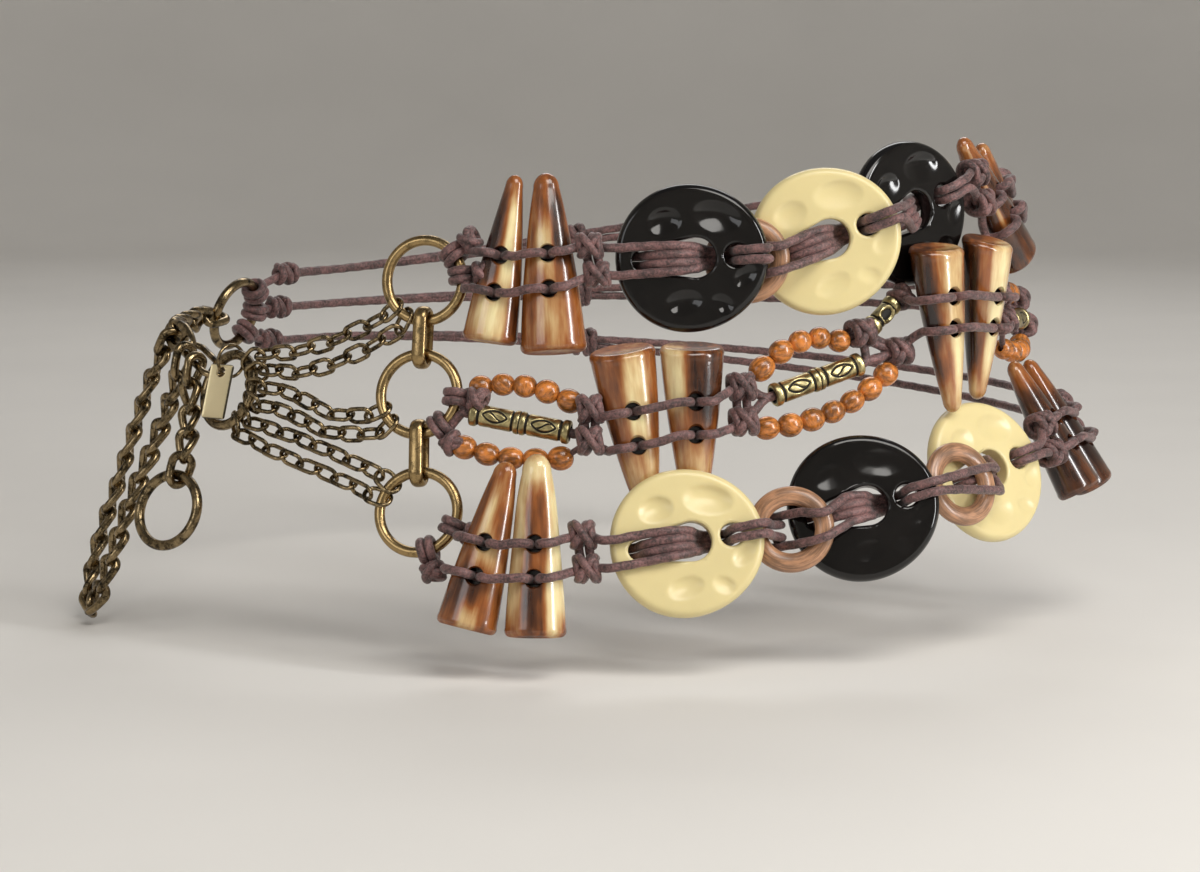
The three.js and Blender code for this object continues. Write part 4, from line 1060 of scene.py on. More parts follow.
def disc_surface(dents):
    """A flat round cushion: its rim is a half oval, and its faces sink towards the dents."""
    sides, rings = 160, 34
    angle = np.arange(sides) * 2 * np.pi / sides
    rim, half = DISC["rim"], DISC["half"]
    flat = np.linspace(1, 0, rings, endpoint=False)[::-1][:, None] * (disc_radius(angle) - rim)
    turn = np.linspace(0, np.pi, 17)[1:-1][:, None]
    edge = disc_radius(angle) - rim + rim * np.sin(turn) ** 0.9
    height = half * np.cos(turn)
    reach = np.concatenate([0 * flat[:1], flat, edge, flat[::-1], 0 * flat[:1]])
    x, y = reach * np.cos(angle), reach * np.sin(angle)
    face = np.full(rings + 1, half)
    levels = np.concatenate([face, height[:, 0], -face])[:, None] + 0 * x
    levels = levels - dents * np.sign(levels) * dented(x, y) * (np.abs(levels) > half * 0.55)
    return grid(np.stack([x, y, levels], -1), wrap_columns=True)


def slot_outline(spread, count=24):
    """The drop-shaped slot's edge, moved outwards by spread: a wide round end, a narrow one and tangents."""
    wide, narrow = SLOT["wide"] + spread, SLOT["narrow"] + spread
    tangent = np.pi / 2 + math.asin((SLOT["wide"] - SLOT["narrow"]) / (SLOT["wide_x"] - SLOT["narrow_x"]))
    first = np.linspace(-tangent, tangent, count)
    second = np.linspace(tangent, 2 * np.pi - tangent, count // 2)
    wide_end = SLOT["wide_x"] + wide * np.cos(first), wide * np.sin(first)
    narrow_end = SLOT["narrow_x"] + narrow * np.cos(second), narrow * np.sin(second)
    return [np.concatenate(part, -1) for part in zip(wide_end, narrow_end)]


def disc_cutters():
    """The slot and the small hole, with rounded edges: they widen along a quarter circle near each face."""
    height = np.concatenate([[-3.2], np.linspace(-2.5, 2.5, 31), [3.2]])
    inside = np.clip(np.abs(height) - DISC["half"] + DISC["edge"], 0, DISC["edge"])
    spread = DISC["edge"] - np.sqrt(DISC["edge"] ** 2 - inside**2)
    spread += np.clip(np.abs(height) - DISC["half"], 0, None) * 0.1
    x, y = slot_outline(spread[:, None])
    c, s = circle(32)
    hole = SMALL_HOLE["radius"] + spread[:, None]
    return [plug(x, y, height), plug(SMALL_HOLE["x"] + hole * c, hole * s, height)]


def build_discs(sizes, colours):
    looks = {"black": black_finish(colours), "cream": cream_finish(colours)}
    for disc in DISCS:
        place = disc_frame(disc)
        cutters = [placed(place, shape) for shape in disc_cutters()]
        mesh = carve(disc.name, [placed(place, disc_surface(disc.dents * sizes.dents))], cutters)
        dress(disc.name, mesh, looks[disc.finish], disc.finish + "_disc", sharp=60)


def wood_ring_frame(ring):
    return on_oval(ring.turn, ring.height, ring.lift, tilt=ring.tilt)


def wood_ring_mesh(ring, wire):
    """A flattened ring. Its grain runs round it, so it is stored by reach, height and direction."""
    place = wood_ring_frame(ring)
    surface = torus(WOOD_RING["radius"], wire, 96, 28, WOOD_RING["flatness"])
    mesh = mesh_of(ring.name, [placed(place, surface)])
    local = place.inside(vertex_places(mesh))
    reach = np.hypot(local[:, 0], local[:, 1])
    swept = local / reach[:, None]
    grain = np.stack([reach, local[:, 2] + swept[:, 0], swept[:, 1]], -1)
    give(mesh, "local", grain + 40 * WOOD_RINGS.index(ring))
    return mesh


def bead_row_mesh(row, radius):
    """A row of beads of slightly different sizes, each in line with its neighbours and with its own grain."""
    number = BEAD_ROWS.index(row)
    centres = row_centres(row)
    shapes, grain = [], []
    for i, centre in enumerate(centres):
        before, after = centres[max(i - 1, 0)], centres[min(i + 1, len(centres) - 1)]
        place = between(centre - unit(after - before), centre + unit(after - before))
        spacing = np.linalg.norm(after - before) / (2 if 0 < i < len(centres) - 1 else 1)
        bead = bead_surface(radius * (0.98 + 0.04 * math.sin(5 * i + number)), spacing * 0.495)
        shapes.append(placed(place, bead))
        grain.append(bead[0] @ rotation(2, 40 * i).T + 31 * (i + 7 * number))
    mesh = mesh_of(row.name, shapes)
    # Where two beads touched and points were joined, the grain runs through the whole row instead.
    apart = len(mesh.vertices) == sum(len(part) for part in grain)
    give(mesh, "local", np.concatenate(grain) if apart else vertex_places(mesh))
    return mesh


def build_wood(sizes, colours):
    ring_look, bead_look = ring_wood(colours), bead_wood(colours)
    for ring in WOOD_RINGS:
        dress(ring.name, wood_ring_mesh(ring, radius_of(sizes.wood_ring_wire)), ring_look, "ring_wood")
    for row in BEAD_ROWS:
        dress(row.name, bead_row_mesh(row, radius_of(sizes.bead)), bead_look, "bead_wood")


def row_centres(row):
    """The middles of a row's beads: equal steps along a line that is bowed up as a parabola."""
    share = np.linspace(0, 1, row.count)
    turn = row.first_turn + (row.last_turn - row.first_turn) * share
    rise = (row.last_height - row.first_height) * share
    return point_at(turn, row.first_height + rise + 4 * row.bow * share * (1 - share), row.lift)


def bead_surface(radius, half_length):
    """A round bead: a sphere a little flattened at its bored ends, where it turns in to the bore."""
    start = math.asin(BEAD_BORE / radius) + 0.12
    turn = np.linspace(start, np.pi - start, 22)
    along = -half_length * np.cos(turn) / np.cos(turn[0])
    inner = np.array([along[-1] + 0.1, along[-1] - 0.5, along[0] + 0.5, along[0] - 0.1])
    bore = [BEAD_BORE + 0.1, BEAD_BORE, BEAD_BORE, BEAD_BORE + 0.1]
    profile = np.concatenate([radius * np.sin(turn) ** 0.93, bore])
    return lathe(profile, np.concatenate([along, inner]), 32, closed=True)


def line_at(distance, half_width):
    """How strongly a line shows: 1 on it, and less as the exponential of the distance's fourth power."""
    return np.exp(-((distance / half_width) ** 4))


def tube_relief(x, angle, size, eye):
    """The height of a tube's face and its relief: raised collars and rings, and leaves or one eye."""
    end, body = size["length"] / 2, size["body"]
    reach, half_collar = np.abs(x), 1.05
    crown = size["collar"] - 0.25 * ((end - reach - half_collar) / half_collar) ** 4
    radius = np.where(reach > end - 2 * half_collar, crown, np.full_like(x, body))
    groove = line_at(reach - end + 2.6, 0.42)
    if eye:
        across = body * np.arctan2(np.sin(angle), np.cos(angle))
        oval = np.sqrt((x / 3.1) ** 2 + (across / 2.3) ** 2)
        radius = radius + 0.6 * line_at(oval - 0.86, 0.2)
        groove = np.maximum(groove, 1.0 * (oval < 0.62))
    else:
        radius = radius + 0.3 * np.exp(-((reach / 1.5) ** 8))
        across = body * ((angle * 3 / (2 * np.pi) + 0.5) % 1 - 0.5) * 2 * np.pi / 3
        u, v = (reach - 6.9) / 3.6, across / 1.9
        panel = (reach > 3.2) & (reach < 10.6)
        leaf = np.abs(v) + u**2
        vein = v - 0.55 * np.sin(3 * u)
        corner = np.abs(v) + 1.3 - np.abs(u) * 1.15
        marks = [
            line_at(reach - 2, 0.38),
            0.8 * line_at(reach, 0.22),
            line_at(leaf - 0.95, 0.2) * panel,
            line_at(vein, 0.17) * (leaf < 0.7) * panel,
            line_at(corner, 0.16) * (np.abs(u) > 0.5) * panel,
        ]
        groove = np.maximum(groove, np.max(marks, 0))
    groove = groove * (reach < end - 2.15)
    return radius - 0.28 * groove, 1 - groove


def tube_frame(tube):
    return on_oval(tube.turn, tube.height, tube.lift, lean=tube.lean)


def tube_mesh(name, place, size, eye=False):
    """The relief turned round the tube's x, with rounded ends and a bore. It is also stored for the look."""
    end, segments = size["length"] / 2, 96
    along = np.linspace(-end, end, round(size["length"] / 0.16))
    angle = np.arange(segments) * 2 * np.pi / segments
    x, turn = np.broadcast_arrays(along[:, None], angle[None])
    radius = tube_relief(x, turn, size, eye)[0]
    rounding = np.clip(1 - (end - np.abs(x)) / 0.5, 0, 1)
    radius = radius - 0.3 * rounding**2
    bore = np.full((4, segments), size["bore"])
    bore_along = np.array([end, end - 1.2, -end + 1.2, -end])
    radius, along = np.concatenate([radius, bore]), np.concatenate([along, bore_along])
    points, faces = lathe(radius, along, segments, closed=True)
    mesh = mesh_of(name, [(place.at(points[:, [0, 2, 1]]), faces)])
    local = place.inside(vertex_places(mesh))
    found_angle = np.arctan2(local[:, 1], local[:, 2])
    relief = tube_relief(local[:, 0], found_angle, size, eye)[1]
    # The whole bore gets relief 0 and so is painted black: painted shade.
    bored = np.hypot(local[:, 1], local[:, 2]) < size["bore"] + 0.25
    give(mesh, "relief", np.where(bored, 0, relief))
    return mesh


def build_tubes(colours):
    look = tube_brass(colours)
    for tube in TUBES:
        dress(tube.name, tube_mesh(tube.name, tube_frame(tube), TUBE), look, "tube_brass")
    eye_bead = tube_mesh("eye_bead", on_oval(**EYE_PLACE), EYE_BEAD, eye=True)
    dress("eye_bead", eye_bead, look, "tube_brass")


def both_sides(place, way):
    """Points for the upper and the lower cord from a way of x, distance from the middle, z."""
    return lambda side: [place.at((x, side * y, z)) for x, y, z in way]


def hole_of(horn, side):
    """A hole's place along the horn's own y, and the horn's half-width there. The upper cord has side 1."""
    distance = horn.far if (side > 0) == horn.tip_up else horn.near
    return along_horn(horn, distance), float(horn_half_width(horn, distance))


class Strand:
    """The lines and knots of one strand's cords, gathered from left to right."""

    def __init__(self, radius):
        self.radius = radius
        self.lines = []
        self.knots = []
        self.rows = {1: [], -1: []}

    def go(self, points_of):
        """Lengthens both cords by the points that a function gives for a side."""
        for side in (1, -1):
            self.rows[side].extend(points_of(side))

    def close(self):
        """Ends both cords here, so that what follows starts new ones."""
        for side in (1, -1):
            if len(self.rows[side]) > 1:
                self.lines.append(np.array(self.rows[side]))
            self.rows[side] = []

    def loops(self, ring, angles):
        """The strand starts in a loop round a ring's wire for each cord, with a knot beside it."""
        centre = ring_frame(ring).origin
        for side in (1, -1):
            wire = on_wire(ring, angles[0] if side > 0 else angles[1])
            away = unit(wire - centre)
            axis = np.cross(away, outward_from(centre))
            for shift in (-LOOP["shift"], LOOP["shift"]):
                self.lines.append(loop_round(wire + axis * shift, away, axis, LOOP["radius"]))
            self.knots.append(Knot(wire + away * LOOP["knot"], away, 2, KNOT["at_ring"]))
            self.rows[side] = [wire + away * LOOP["leave"]]

    def through_horn(self, name):
        """The cords dip into a horn bead's holes and come out on the other side of the drilled place."""
        horn = by_name(HORNS, name)
        place = horn_frame(horn)

        def dip(side):
            y, half = hole_of(horn, side)
            front = HORN_DEPTH * half + self.radius
            spots = [(-4.2, front + 0.25), (-2.4, front - 0.1), (-1.5, front - 1.8), (-1, front - 4.6)]
            spots += [(-x, z) for x, z in spots[::-1]]
            return [place.at((x, y, z)) for x, z in spots]

        self.go(dip)

    def flank(self, name, end, low_z=-1):
        """The cords climb a horn bead's left flank (end -1), or come down its right one (end 1)."""
        horn = by_name(HORNS, name)
        place = horn_frame(horn)

        def pair(side):
            y, half = hole_of(horn, side)
            low = place.at((end * (half + 2.1), y, low_z))
            high = place.at((end * (half + 1.3), y, HORN_DEPTH * half * 0.5 + 1.8))
            return [low, high] if end < 0 else [high, low]

        self.go(pair)

    def knot_pair(self, upper, lower, lift):
        """A knot on each cord, with a double tie between them."""
        spots = {1: point_at(*upper, lift), -1: point_at(*lower, lift)}
        self.go(lambda side: [spots[side]])
        turn = (upper[0] + lower[0]) / 2
        around, _, out = axes_at(turn, (upper[1] + lower[1]) / 2)
        radius = min(KNOT["largest"], np.linalg.norm(spots[1] - spots[-1]) / 2 - CORD_RADIUS)
        for side in (1, -1):
            self.knots.append(Knot(spots[side], around, 3, radius))
        for shift in (-CORD_RADIUS, CORD_RADIUS):
            middle = (spots[1] + spots[-1]) / 2 + around * shift * 1.1 - out * 0.6
            self.lines.append(np.array([spots[1] + around * shift, middle, spots[-1] + around * shift]))

    def past_disc(self, name, start_x=-30):
        """The outer cords go over a disc, down its slot and up its small hole, and the inner ones join in."""
        place = disc_frame(by_name(DISCS, name))
        self.go(both_sides(place, [spot for spot in DISC_WAY if spot[0] > start_x]))
        for side in (1, -1):
            self.lines.append(place.at(*[(x, side * y, z) for x, y, z in INNER_WAY]))

    def over_ring(self, name, goes_down=False):
        """The cords lie over a wooden ring's right wire, and may go down behind it."""
        place = wood_ring_frame(by_name(WOOD_RINGS, name))
        proud = WOOD_RING["wire"] * WOOD_RING["flatness"] + self.radius + 0.3
        spots = [(WOOD_RING["radius"], 3.4, proud)]
        if goes_down:
            spots.append((WOOD_RING["radius"] + 4, 3.2, 0.8))
        self.go(both_sides(place, spots))

    def into_ring(self, name):
        """Two cords dive into a wood ring and behind its left wire, and two come out of it further apart."""
        place = wood_ring_frame(by_name(WOOD_RINGS, name))
        self.go(both_sides(place, RING_DIVE))
        self.close()
        self.go(both_sides(place, RING_RISE))

    def through_tube(self, name, next_upper, next_lower, next_lift):
        """Both cords meet in the tube's bore and part again behind it."""
        place = tube_frame(by_name(TUBES, name))
        reach, outside, inside, apart = TUBE["length"] / 2, 1.7, 2, 0.3
        start, end = place.at((-reach - outside, 0, 0)), place.at((reach + outside, 0, 0))
        for side in (1, -1):
            self.rows[side].extend([start, place.at((-reach + inside, apart * side, 0))])
        self.close()
        for side, spot in ((1, next_upper), (-1, next_lower)):
            leave = place.at((reach - inside, apart * side, 0))
            self.lines.append(np.array([leave, end, point_at(*spot, next_lift)]))


def loop_round(centre, first, axis, radius):
    """One turn of cord round an axis, a little open, so that it's drawn as a closed ring of cord."""
    c, s = circle(28)
    other = np.cross(axis, first)
    points = centre + radius * (c[:, None] * first + s[:, None] * other)
    return np.concatenate([points, points[:1], points[1:2]])


def knot_lines(centre, along, wraps, radius):
    """A knot: wraps side by side round the cord, and two turns that cross over them at the front."""
    out = outward_from(centre)
    out = unit(out - along * (out @ along))
    across = np.cross(along, out)
    lines = []
    for i in range(wraps):
        shift = (i - (wraps - 1) / 2) * KNOT["spacing"]
        lean = 0.32 if i % 2 else -0.18
        axis = unit(along + across * lean)
        first = unit(out - axis * (out @ axis))
        wrap = radius - KNOT["taper"] * abs(i - (wraps - 1) / 2)
        lines.append(loop_round(centre + along * shift, first, axis, wrap))
    reach = wraps * KNOT["reach"]
    crossings = []
    for way, proud in ((-1, 0.5), (1, 1.3)):
        middle = centre + out * (radius + proud)
        side, half = across * way * (radius - 0.5), along * reach * 0.55
        far_side, far_half = across * way * (radius - 0.2), along * reach * 0.7
        start, end = middle - half - side - out * proud, middle + half + side - out * proud
        hidden = out * (radius + proud + 0.6)
        first, last = middle - far_half - far_side - hidden, middle + far_half + far_side - hidden
        crossings.append(np.array([first, start, middle, end, last]))
    return lines, crossings


def top_strand(radius):
    strand = Strand(radius)
    strand.loops("ring_top", (42, 9))
    strand.flank("horn_top_1", -1, 2.8)
    strand.through_horn("horn_top_1")
    strand.through_horn("horn_top_2")
    strand.knot_pair((-2.3, 47.6), (-1.3, 39.6), 9)
    strand.past_disc("disc_top_1")
    strand.into_ring("wood_ring_top")
    strand.over_ring("wood_ring_top")
    strand.past_disc("disc_top_2", -10)
    strand.past_disc("disc_top_3", -6)
    strand.knot_pair((62, 65), (63.4, 56), 7)
    strand.flank("horn_top_3", -1)
    strand.through_horn("horn_top_3")
    strand.through_horn("horn_top_4")
    strand.knot_pair((91, 60), (93, 52), 4)
    strand.close()
    return strand


def middle_strand(radius):
    strand = Strand(radius)
    strand.loops("ring_middle", (-3, -50))
    strand.through_tube("brass_tube_1", (-2, 2.2), (-2, -6.4), 8)
    strand.knot_pair((-2, 2.2), (-2, -6.4), 8)
    strand.flank("horn_middle_1", -1)
    strand.through_horn("horn_middle_1")
    strand.through_horn("horn_middle_2")
    strand.knot_pair((16.4, 7.9), (16.2, -1.6), 7)
    strand.through_tube("brass_tube_2", (34.6, 21.7), (40.2, 15.8), 5)
    strand.knot_pair((34.6, 21.7), (40.2, 15.8), 5)
    place, eye_knot = on_oval(**EYE_PLACE), point_at(42.6, 31.2, 4.8)
    strand.rows[1].extend([place.at((-7.2, 0, 0)), place.at((7.2, 0, 0)), eye_knot])
    strand.knots.append(Knot(eye_knot, place.axes[:, 0], 2, 2.6))
    strand.flank("horn_middle_3", -1)
    strand.through_horn("horn_middle_3")
    strand.through_horn("horn_middle_4")
    strand.flank("horn_middle_4", 1)
    strand.knot_pair((65.2, 28.7), (65, 20.5), 6)
    strand.through_tube("brass_tube_3", (89, 24), (89, 16), 3)
    strand.knot_pair((89, 24), (89, 16), 3)
    return strand


def bottom_strand(radius):
    strand = Strand(radius)
    strand.loops("ring_bottom", (-20, -70))
    strand.flank("horn_bottom_1", -1)
    strand.through_horn("horn_bottom_1")
    strand.through_horn("horn_bottom_2")
    strand.knot_pair((-2.6, -31.2), (-2.1, -39.8), 8)
    strand.past_disc("disc_bottom_1")
    strand.into_ring("wood_ring_bottom_1")
    strand.over_ring("wood_ring_bottom_1")
    strand.past_disc("disc_bottom_2", -8)
    strand.over_ring("wood_ring_bottom_2", True)
    strand.past_disc("disc_bottom_3", -1)
    strand.knot_pair((63.5, -10.5), (63.2, -18.5), 8)
    strand.flank("horn_bottom_3", -1)
    strand.through_horn("horn_bottom_3")
    strand.through_horn("horn_bottom_4")
    strand.knot_pair((86, -8.2), (87, -16.2), 4)
    strand.close()
    return strand


def back_strand(row, radius):
    """At the back: two plain cords leave the last knots and meet in a knot and a loop at a ring."""
    share = np.linspace(0, 1, 12)
    way = row.start_turn + (BACK_END_TURN - row.start_turn) * share
    turn = np.concatenate([[row.start_turn - BACK_OVERLAP], way])
    ease = np.concatenate([[0], share**2 * (3 - 2 * share)])
    strand = Strand(radius)
    wire = on_wire("back_ring", row.ring_angle)
    away = unit(wire - ring_frame("back_ring").origin)
    for start_height in (row.upper, row.lower):
        height = start_height + (row.end_height - start_height) * ease
        path = point_at(turn, height, BACK_LIFT)
        if start_height == row.upper:
            path = np.concatenate([path, [wire + away * LOOP["leave"]]])
        strand.lines.append(path)
        strand.knots.append(Knot(path[8], unit(path[9] - path[8]), 3, KNOT["at_back"]))
    strand.knots.append(Knot(path[-1], unit(path[-1] - path[-2]), 3, KNOT["at_back"]))
    axis = np.cross(away, outward_from(wire))
    for shift in (-LOOP["shift"], LOOP["shift"]):
        strand.lines.append(loop_round(wire + axis * shift, away, axis, LOOP["radius"]))
    return strand


def strand_mesh(name, strand):
    """A strand's cords, and in each knot thinner wraps and crossings."""
    shapes = [cord_surface(smooth_path(line, CORD_STEP), strand.radius) for line in strand.lines]
    for knot in strand.knots:
        lines, crossings = knot_lines(knot.centre, unit(knot.along), knot.wraps, knot.radius)
        for ways, share in ((lines, WRAP_SHARE), (crossings, CROSSING_SHARE)):
            shapes += [cord_surface(smooth_path(way, CORD_STEP), strand.radius * share) for way in ways]
    return mesh_of(name, shapes)


def build_cords(sizes, colours):
    look = cord_finish(colours)
    radius = radius_of(sizes.cord)
    fronts = {"top": top_strand(radius), "middle": middle_strand(radius), "bottom": bottom_strand(radius)}
    for name, strand in fronts.items():
        dress(f"cord_{name}_front", strand_mesh(name, strand), look, "cord")
    for row in BACK_STRANDS:
        dress(f"cord_{row.name}_back", strand_mesh(row.name, back_strand(row, radius)), look, "cord")
    threads = []
    for row in BEAD_ROWS:
        start, end = [point_at(*spot) for spot in THREAD_ENDS[row.name]]
        threads.append(cord_surface(smooth_path([start, *row_centres(row), end], 0.8), radius * THREAD_SHARE))
    add_piece("bead_threads_look", mesh_of("bead_threads", threads), look, "cord")


def link_joints(points, pitch):
    """The places where links meet: equal chords, as close to the pitch as a whole number of links allows."""
    step = 0.15
    samples = smooth_path(points, step)

    def stepped(chord):
        joints = [samples[0]]
        for sample in samples:
            if np.linalg.norm(sample - joints[-1]) >= chord:
                joints.append(sample)
        return joints

    count = max(1, round(step * len(samples) / pitch))
    low, high = pitch * 0.7, pitch * 1.4
    for _ in range(16):
        middle = (low + high) / 2
        if len(stepped(middle)) > count:
            low = middle
        else:
            high = middle
    return stepped(low)


def curb_chain(points, wire, first_roll, last_roll):
    """Flat twisted links: each is turned an eighth one way at its start and the other way at its end."""
    joints = link_joints(points, CURB["pitch"])
    shapes = []
    for i, (start, end) in enumerate(zip(joints, joints[1:])):
        length = np.linalg.norm(end - start) - CURB["overlap"] + 4 * CURB["wire"] + CURB["spare"]
        first = first_roll if i == 0 else -45
        last = last_roll if i == len(joints) - 2 else 45
        shapes.append(placed(between(start, end), oval_link(length, CURB["width"], wire, first, last)))
    return shapes


def cable_chain(points, wire):
    """Oval links, each turned a quarter turn from the last."""
    joints = link_joints(points, CABLE["pitch"])
    shapes = []
    for i, (start, end) in enumerate(zip(joints, joints[1:])):
        roll = 45 if i % 2 else -45
        length = np.linalg.norm(end - start) + 4 * wire
        link = oval_link(length, CABLE["width"], wire, roll, roll, 28, 10)
        shapes.append(placed(between(start, end), link))
    return shapes, joints


def hook_loop(held, from_point, wire):
    """A larger loop of wire that holds a ring's wire and a chain's last link."""
    along = unit(from_point - held)
    start, end = held - along * 2.2, from_point + along * 1.2
    length = np.linalg.norm(end - start) + 1.4
    return placed(between(start, end), oval_link(length, CABLE["hook_width"], wire, 35, 35, 36, 10))


def on_outer_wire(x):
    """Where a hanging chain's top link holds the long link's outer wire."""
    y = -(CLASP_LINK["width"] / 2 - CLASP_LINK["wire"])
    roll = math.radians(CLASP_LINK["roll"])
    hook = CLASP_LINK["wire"] + 0.6 + CURB["overlap"] / 2
    return clasp_link_frame().at((x, y * math.cos(roll) + hook, y * math.sin(roll)))


def clasp_link_ends():
    """The points where the long link holds the clasp's eye and the gathering ring."""
    eye = clasp_frame().at((CLASP["eye_x"] - 0.45, 0, 0))
    hook = on_wire("gathering_ring", 150, CHAIN_RING["wire"] + 0.75 + CLASP_LINK["wire"])
    return eye, hook


def clasp_link_frame():
    return between(*clasp_link_ends())


def clasp_mesh():
    """A flat hook of cast metal: rounded edges, a slot for the chain, and an eye at its narrow end."""
    c, s = circle(64)
    narrowing = 1 - 0.22 * np.clip(c, 0, None)
    half = CLASP["thickness"] / 2
    turn = np.linspace(0, np.pi, 13)[:, None]
    inset = 1.0 * (1 - np.sin(turn))
    x = (CLASP["length"] / 2 - inset) * c
    y = (CLASP["height"] / 2 - inset) * s * narrowing
    z = half * np.cos(turn) + 0 * x
    rows = np.stack([x, y, z], -1)
    caps = [np.zeros((1, 64, 3)) + (0, 0, level) for level in (half, -half)]
    body = grid(np.concatenate([caps[0], rows, caps[1]]), wrap_columns=True)
    depth = np.linspace(-half - 1, half + 1, 13)
    spread = np.clip(np.abs(depth) - half + 0.6, 0, None)[:, None] * 0.6
    end = CLASP_SLOT["height"] / 2
    run = CLASP_SLOT["length"] / 2 - end
    c, s = circle(32)
    slot_x = CLASP_SLOT["x"] + np.sign(np.round(c, 6)) * run + (end + spread) * c
    eye = CLASP["eye_radius"] + spread
    shapes = [plug(slot_x, (end + spread) * s, depth), plug(CLASP["eye_x"] + eye * c, eye * s, depth)]
    place = clasp_frame()
    return carve("clasp", [placed(place, body)], [placed(place, shape) for shape in shapes])


def tag_frames():
    """The jump ring's and the tag's frames: both hang from the gathering ring's upper left."""
    turn, height = CHAIN_RINGS[0][1:3]
    _, up, out = axes_at(turn, height)
    ring = on_wire("gathering_ring", 100) - 2 * up + 0.6 * out
    hole = ring - 4 * up + 2.3 * out
    return Frame(ring, on_oval(turn, height).axes), Frame(hole, on_oval(turn, height, lean=5, tilt=-14).axes)


def tag_mesh(place):
    """A thin plate with rounded corners and softened edges, pierced near its top."""
    half_x, half_y, half = TAG["width"] / 2, TAG["length"] / 2, TAG["thickness"] / 2
    c, s = circle(64)
    inset = np.array([0.9, 0.6, 0.25, 0.08, 0, 0, 0.08, 0.25])[:, None]
    sunk = np.array([0.15, 0.12, 0, 0.1, 0.3])
    levels = np.concatenate([half - sunk, [0.3 - half, 0.1 - half, -half]])[:, None]
    corner = TAG["corner"]
    x = np.sign(np.round(c, 6)) * (half_x - corner) + (corner - inset) * np.sign(c) * np.abs(c) ** 0.8
    y = np.sign(np.round(s, 6)) * (half_y - corner) + (corner - inset) * np.sign(s) * np.abs(s) ** 0.8
    rows = np.stack([x, y + 0 * inset, levels + 0 * x], -1)
    caps = [np.zeros((1, 64, 3)) + (0, 0, level) for level in (half - 0.15, -half)]
    plate, faces = grid(np.concatenate([caps[0], rows, caps[1]]), wrap_columns=True)
    shift = np.array([0, TAG["inset"] - TAG["length"] / 2, 0])
    hole, wide = TAG["hole"], TAG["hole"] + 0.15
    drill, drill_faces = lathe([0, wide, hole, hole, wide, 0], [-0.8, -0.5, -0.35, 0.35, 0.5, 0.8], 28)
    drill = drill[:, [1, 2, 0]]
    mesh = carve("tag", [(place.at(plate + shift), faces)], [(place.at(drill), drill_faces)])
    local = np.abs(place.inside(vertex_places(mesh)) - shift)
    give(mesh, "relief", np.clip(np.minimum(half_x - local[:, 0], half_y - local[:, 1]) / 0.5, 0, 1))
    return mesh


def build_cables(wire, dark):
    """Each cable chain with a hook loop at both ends."""
    for name, start_angle, first_turn, first_height, last_turn, last_height, end_angle in CABLE_CHAINS:
        ring = "ring_" + name.split("_")[0]
        held = on_wire("gathering_ring", start_angle), on_wire(ring, end_angle)
        apart = -CABLE["stand_off"]
        ends = on_wire("gathering_ring", start_angle, apart), on_wire(ring, end_angle, apart)
        way = [ends[0], point_at(first_turn, first_height, 4), point_at(last_turn, last_height, 4), ends[1]]
        shapes, joints = cable_chain(way, wire)
        shapes += [hook_loop(held[0], joints[0], wire), hook_loop(held[1], joints[-1], wire)]
        node = "cable_chain_" + name
        dress(node, mesh_of(node, shapes), dark, "dark_bronze")


def build_extension(wire, dark):
    """The extension chain: the swag and the tail hang from the long link, and a run goes to the back ring."""
    oval_up = axes_at(CLASP_PLACE["turn"], CLASP_PLACE["height"])[1]
    swag_end, tail_start = on_outer_wire(CLASP_LINK["swag_x"]), on_outer_wire(CLASP_LINK["tail_x"])
    slot_end = clasp_frame().at((CLASP_SLOT["x"] - CLASP_SLOT["length"] / 2 + 2.3, -0.2, 0))
    tail_end = on_wire("end_ring", 92, CHAIN_RING["wire"] + 0.6 + CURB["overlap"] / 2)
    swag_way = [slot_end, *[point_at(*row) for row in SWAG_WAY], swag_end - oval_up * CURB["pitch"], swag_end]
    tail_way = [
        tail_start,
        tail_start - oval_up * 0.8 * CURB["pitch"],
        point_at(-62.6, -5, 6),
        tail_end + oval_up * CURB["pitch"],
        tail_end,
    ]
    back_way = [
        on_wire("back_ring", 0, 3),
        point_at(257, 16, 4.5),
        point_at(271, 14.5, 6.5),
        clasp_frame().at((-CLASP["length"] / 2 + 3.2, 0, -0.5)),
    ]
    runs = [
        ("swag", swag_way, 90, -90, "extension_chain_swag"),
        ("tail", tail_way, 90, -105, "extension_chain_tail"),
        ("back_chain", back_way, 90, 45, "extension_chain_back"),
    ]
    for name, way, first_roll, last_roll, node in runs:
        mesh = mesh_of(name, curb_chain(way, wire, first_roll, last_roll))
        add_piece(name + "_look", mesh, dark, "dark_bronze", node)


def build_clasp(dark):
    ends, roll = clasp_link_ends(), CLASP_LINK["roll"]
    length = np.linalg.norm(ends[1] - ends[0]) + 2 * CLASP_LINK["wire"]
    link = oval_link(length, CLASP_LINK["width"], CLASP_LINK["wire"], roll, roll, 64, 14)
    dress("clasp_link", mesh_of("clasp_link", [placed(between(*ends), link)]), dark, "dark_bronze")
    dress("clasp", clasp_mesh(), dark, "dark_bronze", sharp=40)


def build_tag(dark, bright):
    ring_place, tag_place = tag_frames()
    points, faces = torus(JUMP_RING["radius"], JUMP_RING["wire"], 56, 12)
    jump_ring = mesh_of("tag_jump_ring", [(ring_place.at(points[:, [2, 1, 0]]), faces)])
    dress("tag_jump_ring", jump_ring, dark, "dark_bronze")
    dress("tag", tag_mesh(tag_place), bright, "tag_brass", sharp=40)


def build_chains(sizes, colours):
    dark = dark_bronze(colours)
    build_cables(radius_of(sizes.cable_wire), dark)
    build_extension(radius_of(sizes.curb_wire), dark)
    build_clasp(dark)
    build_tag(dark, tag_brass(colours))


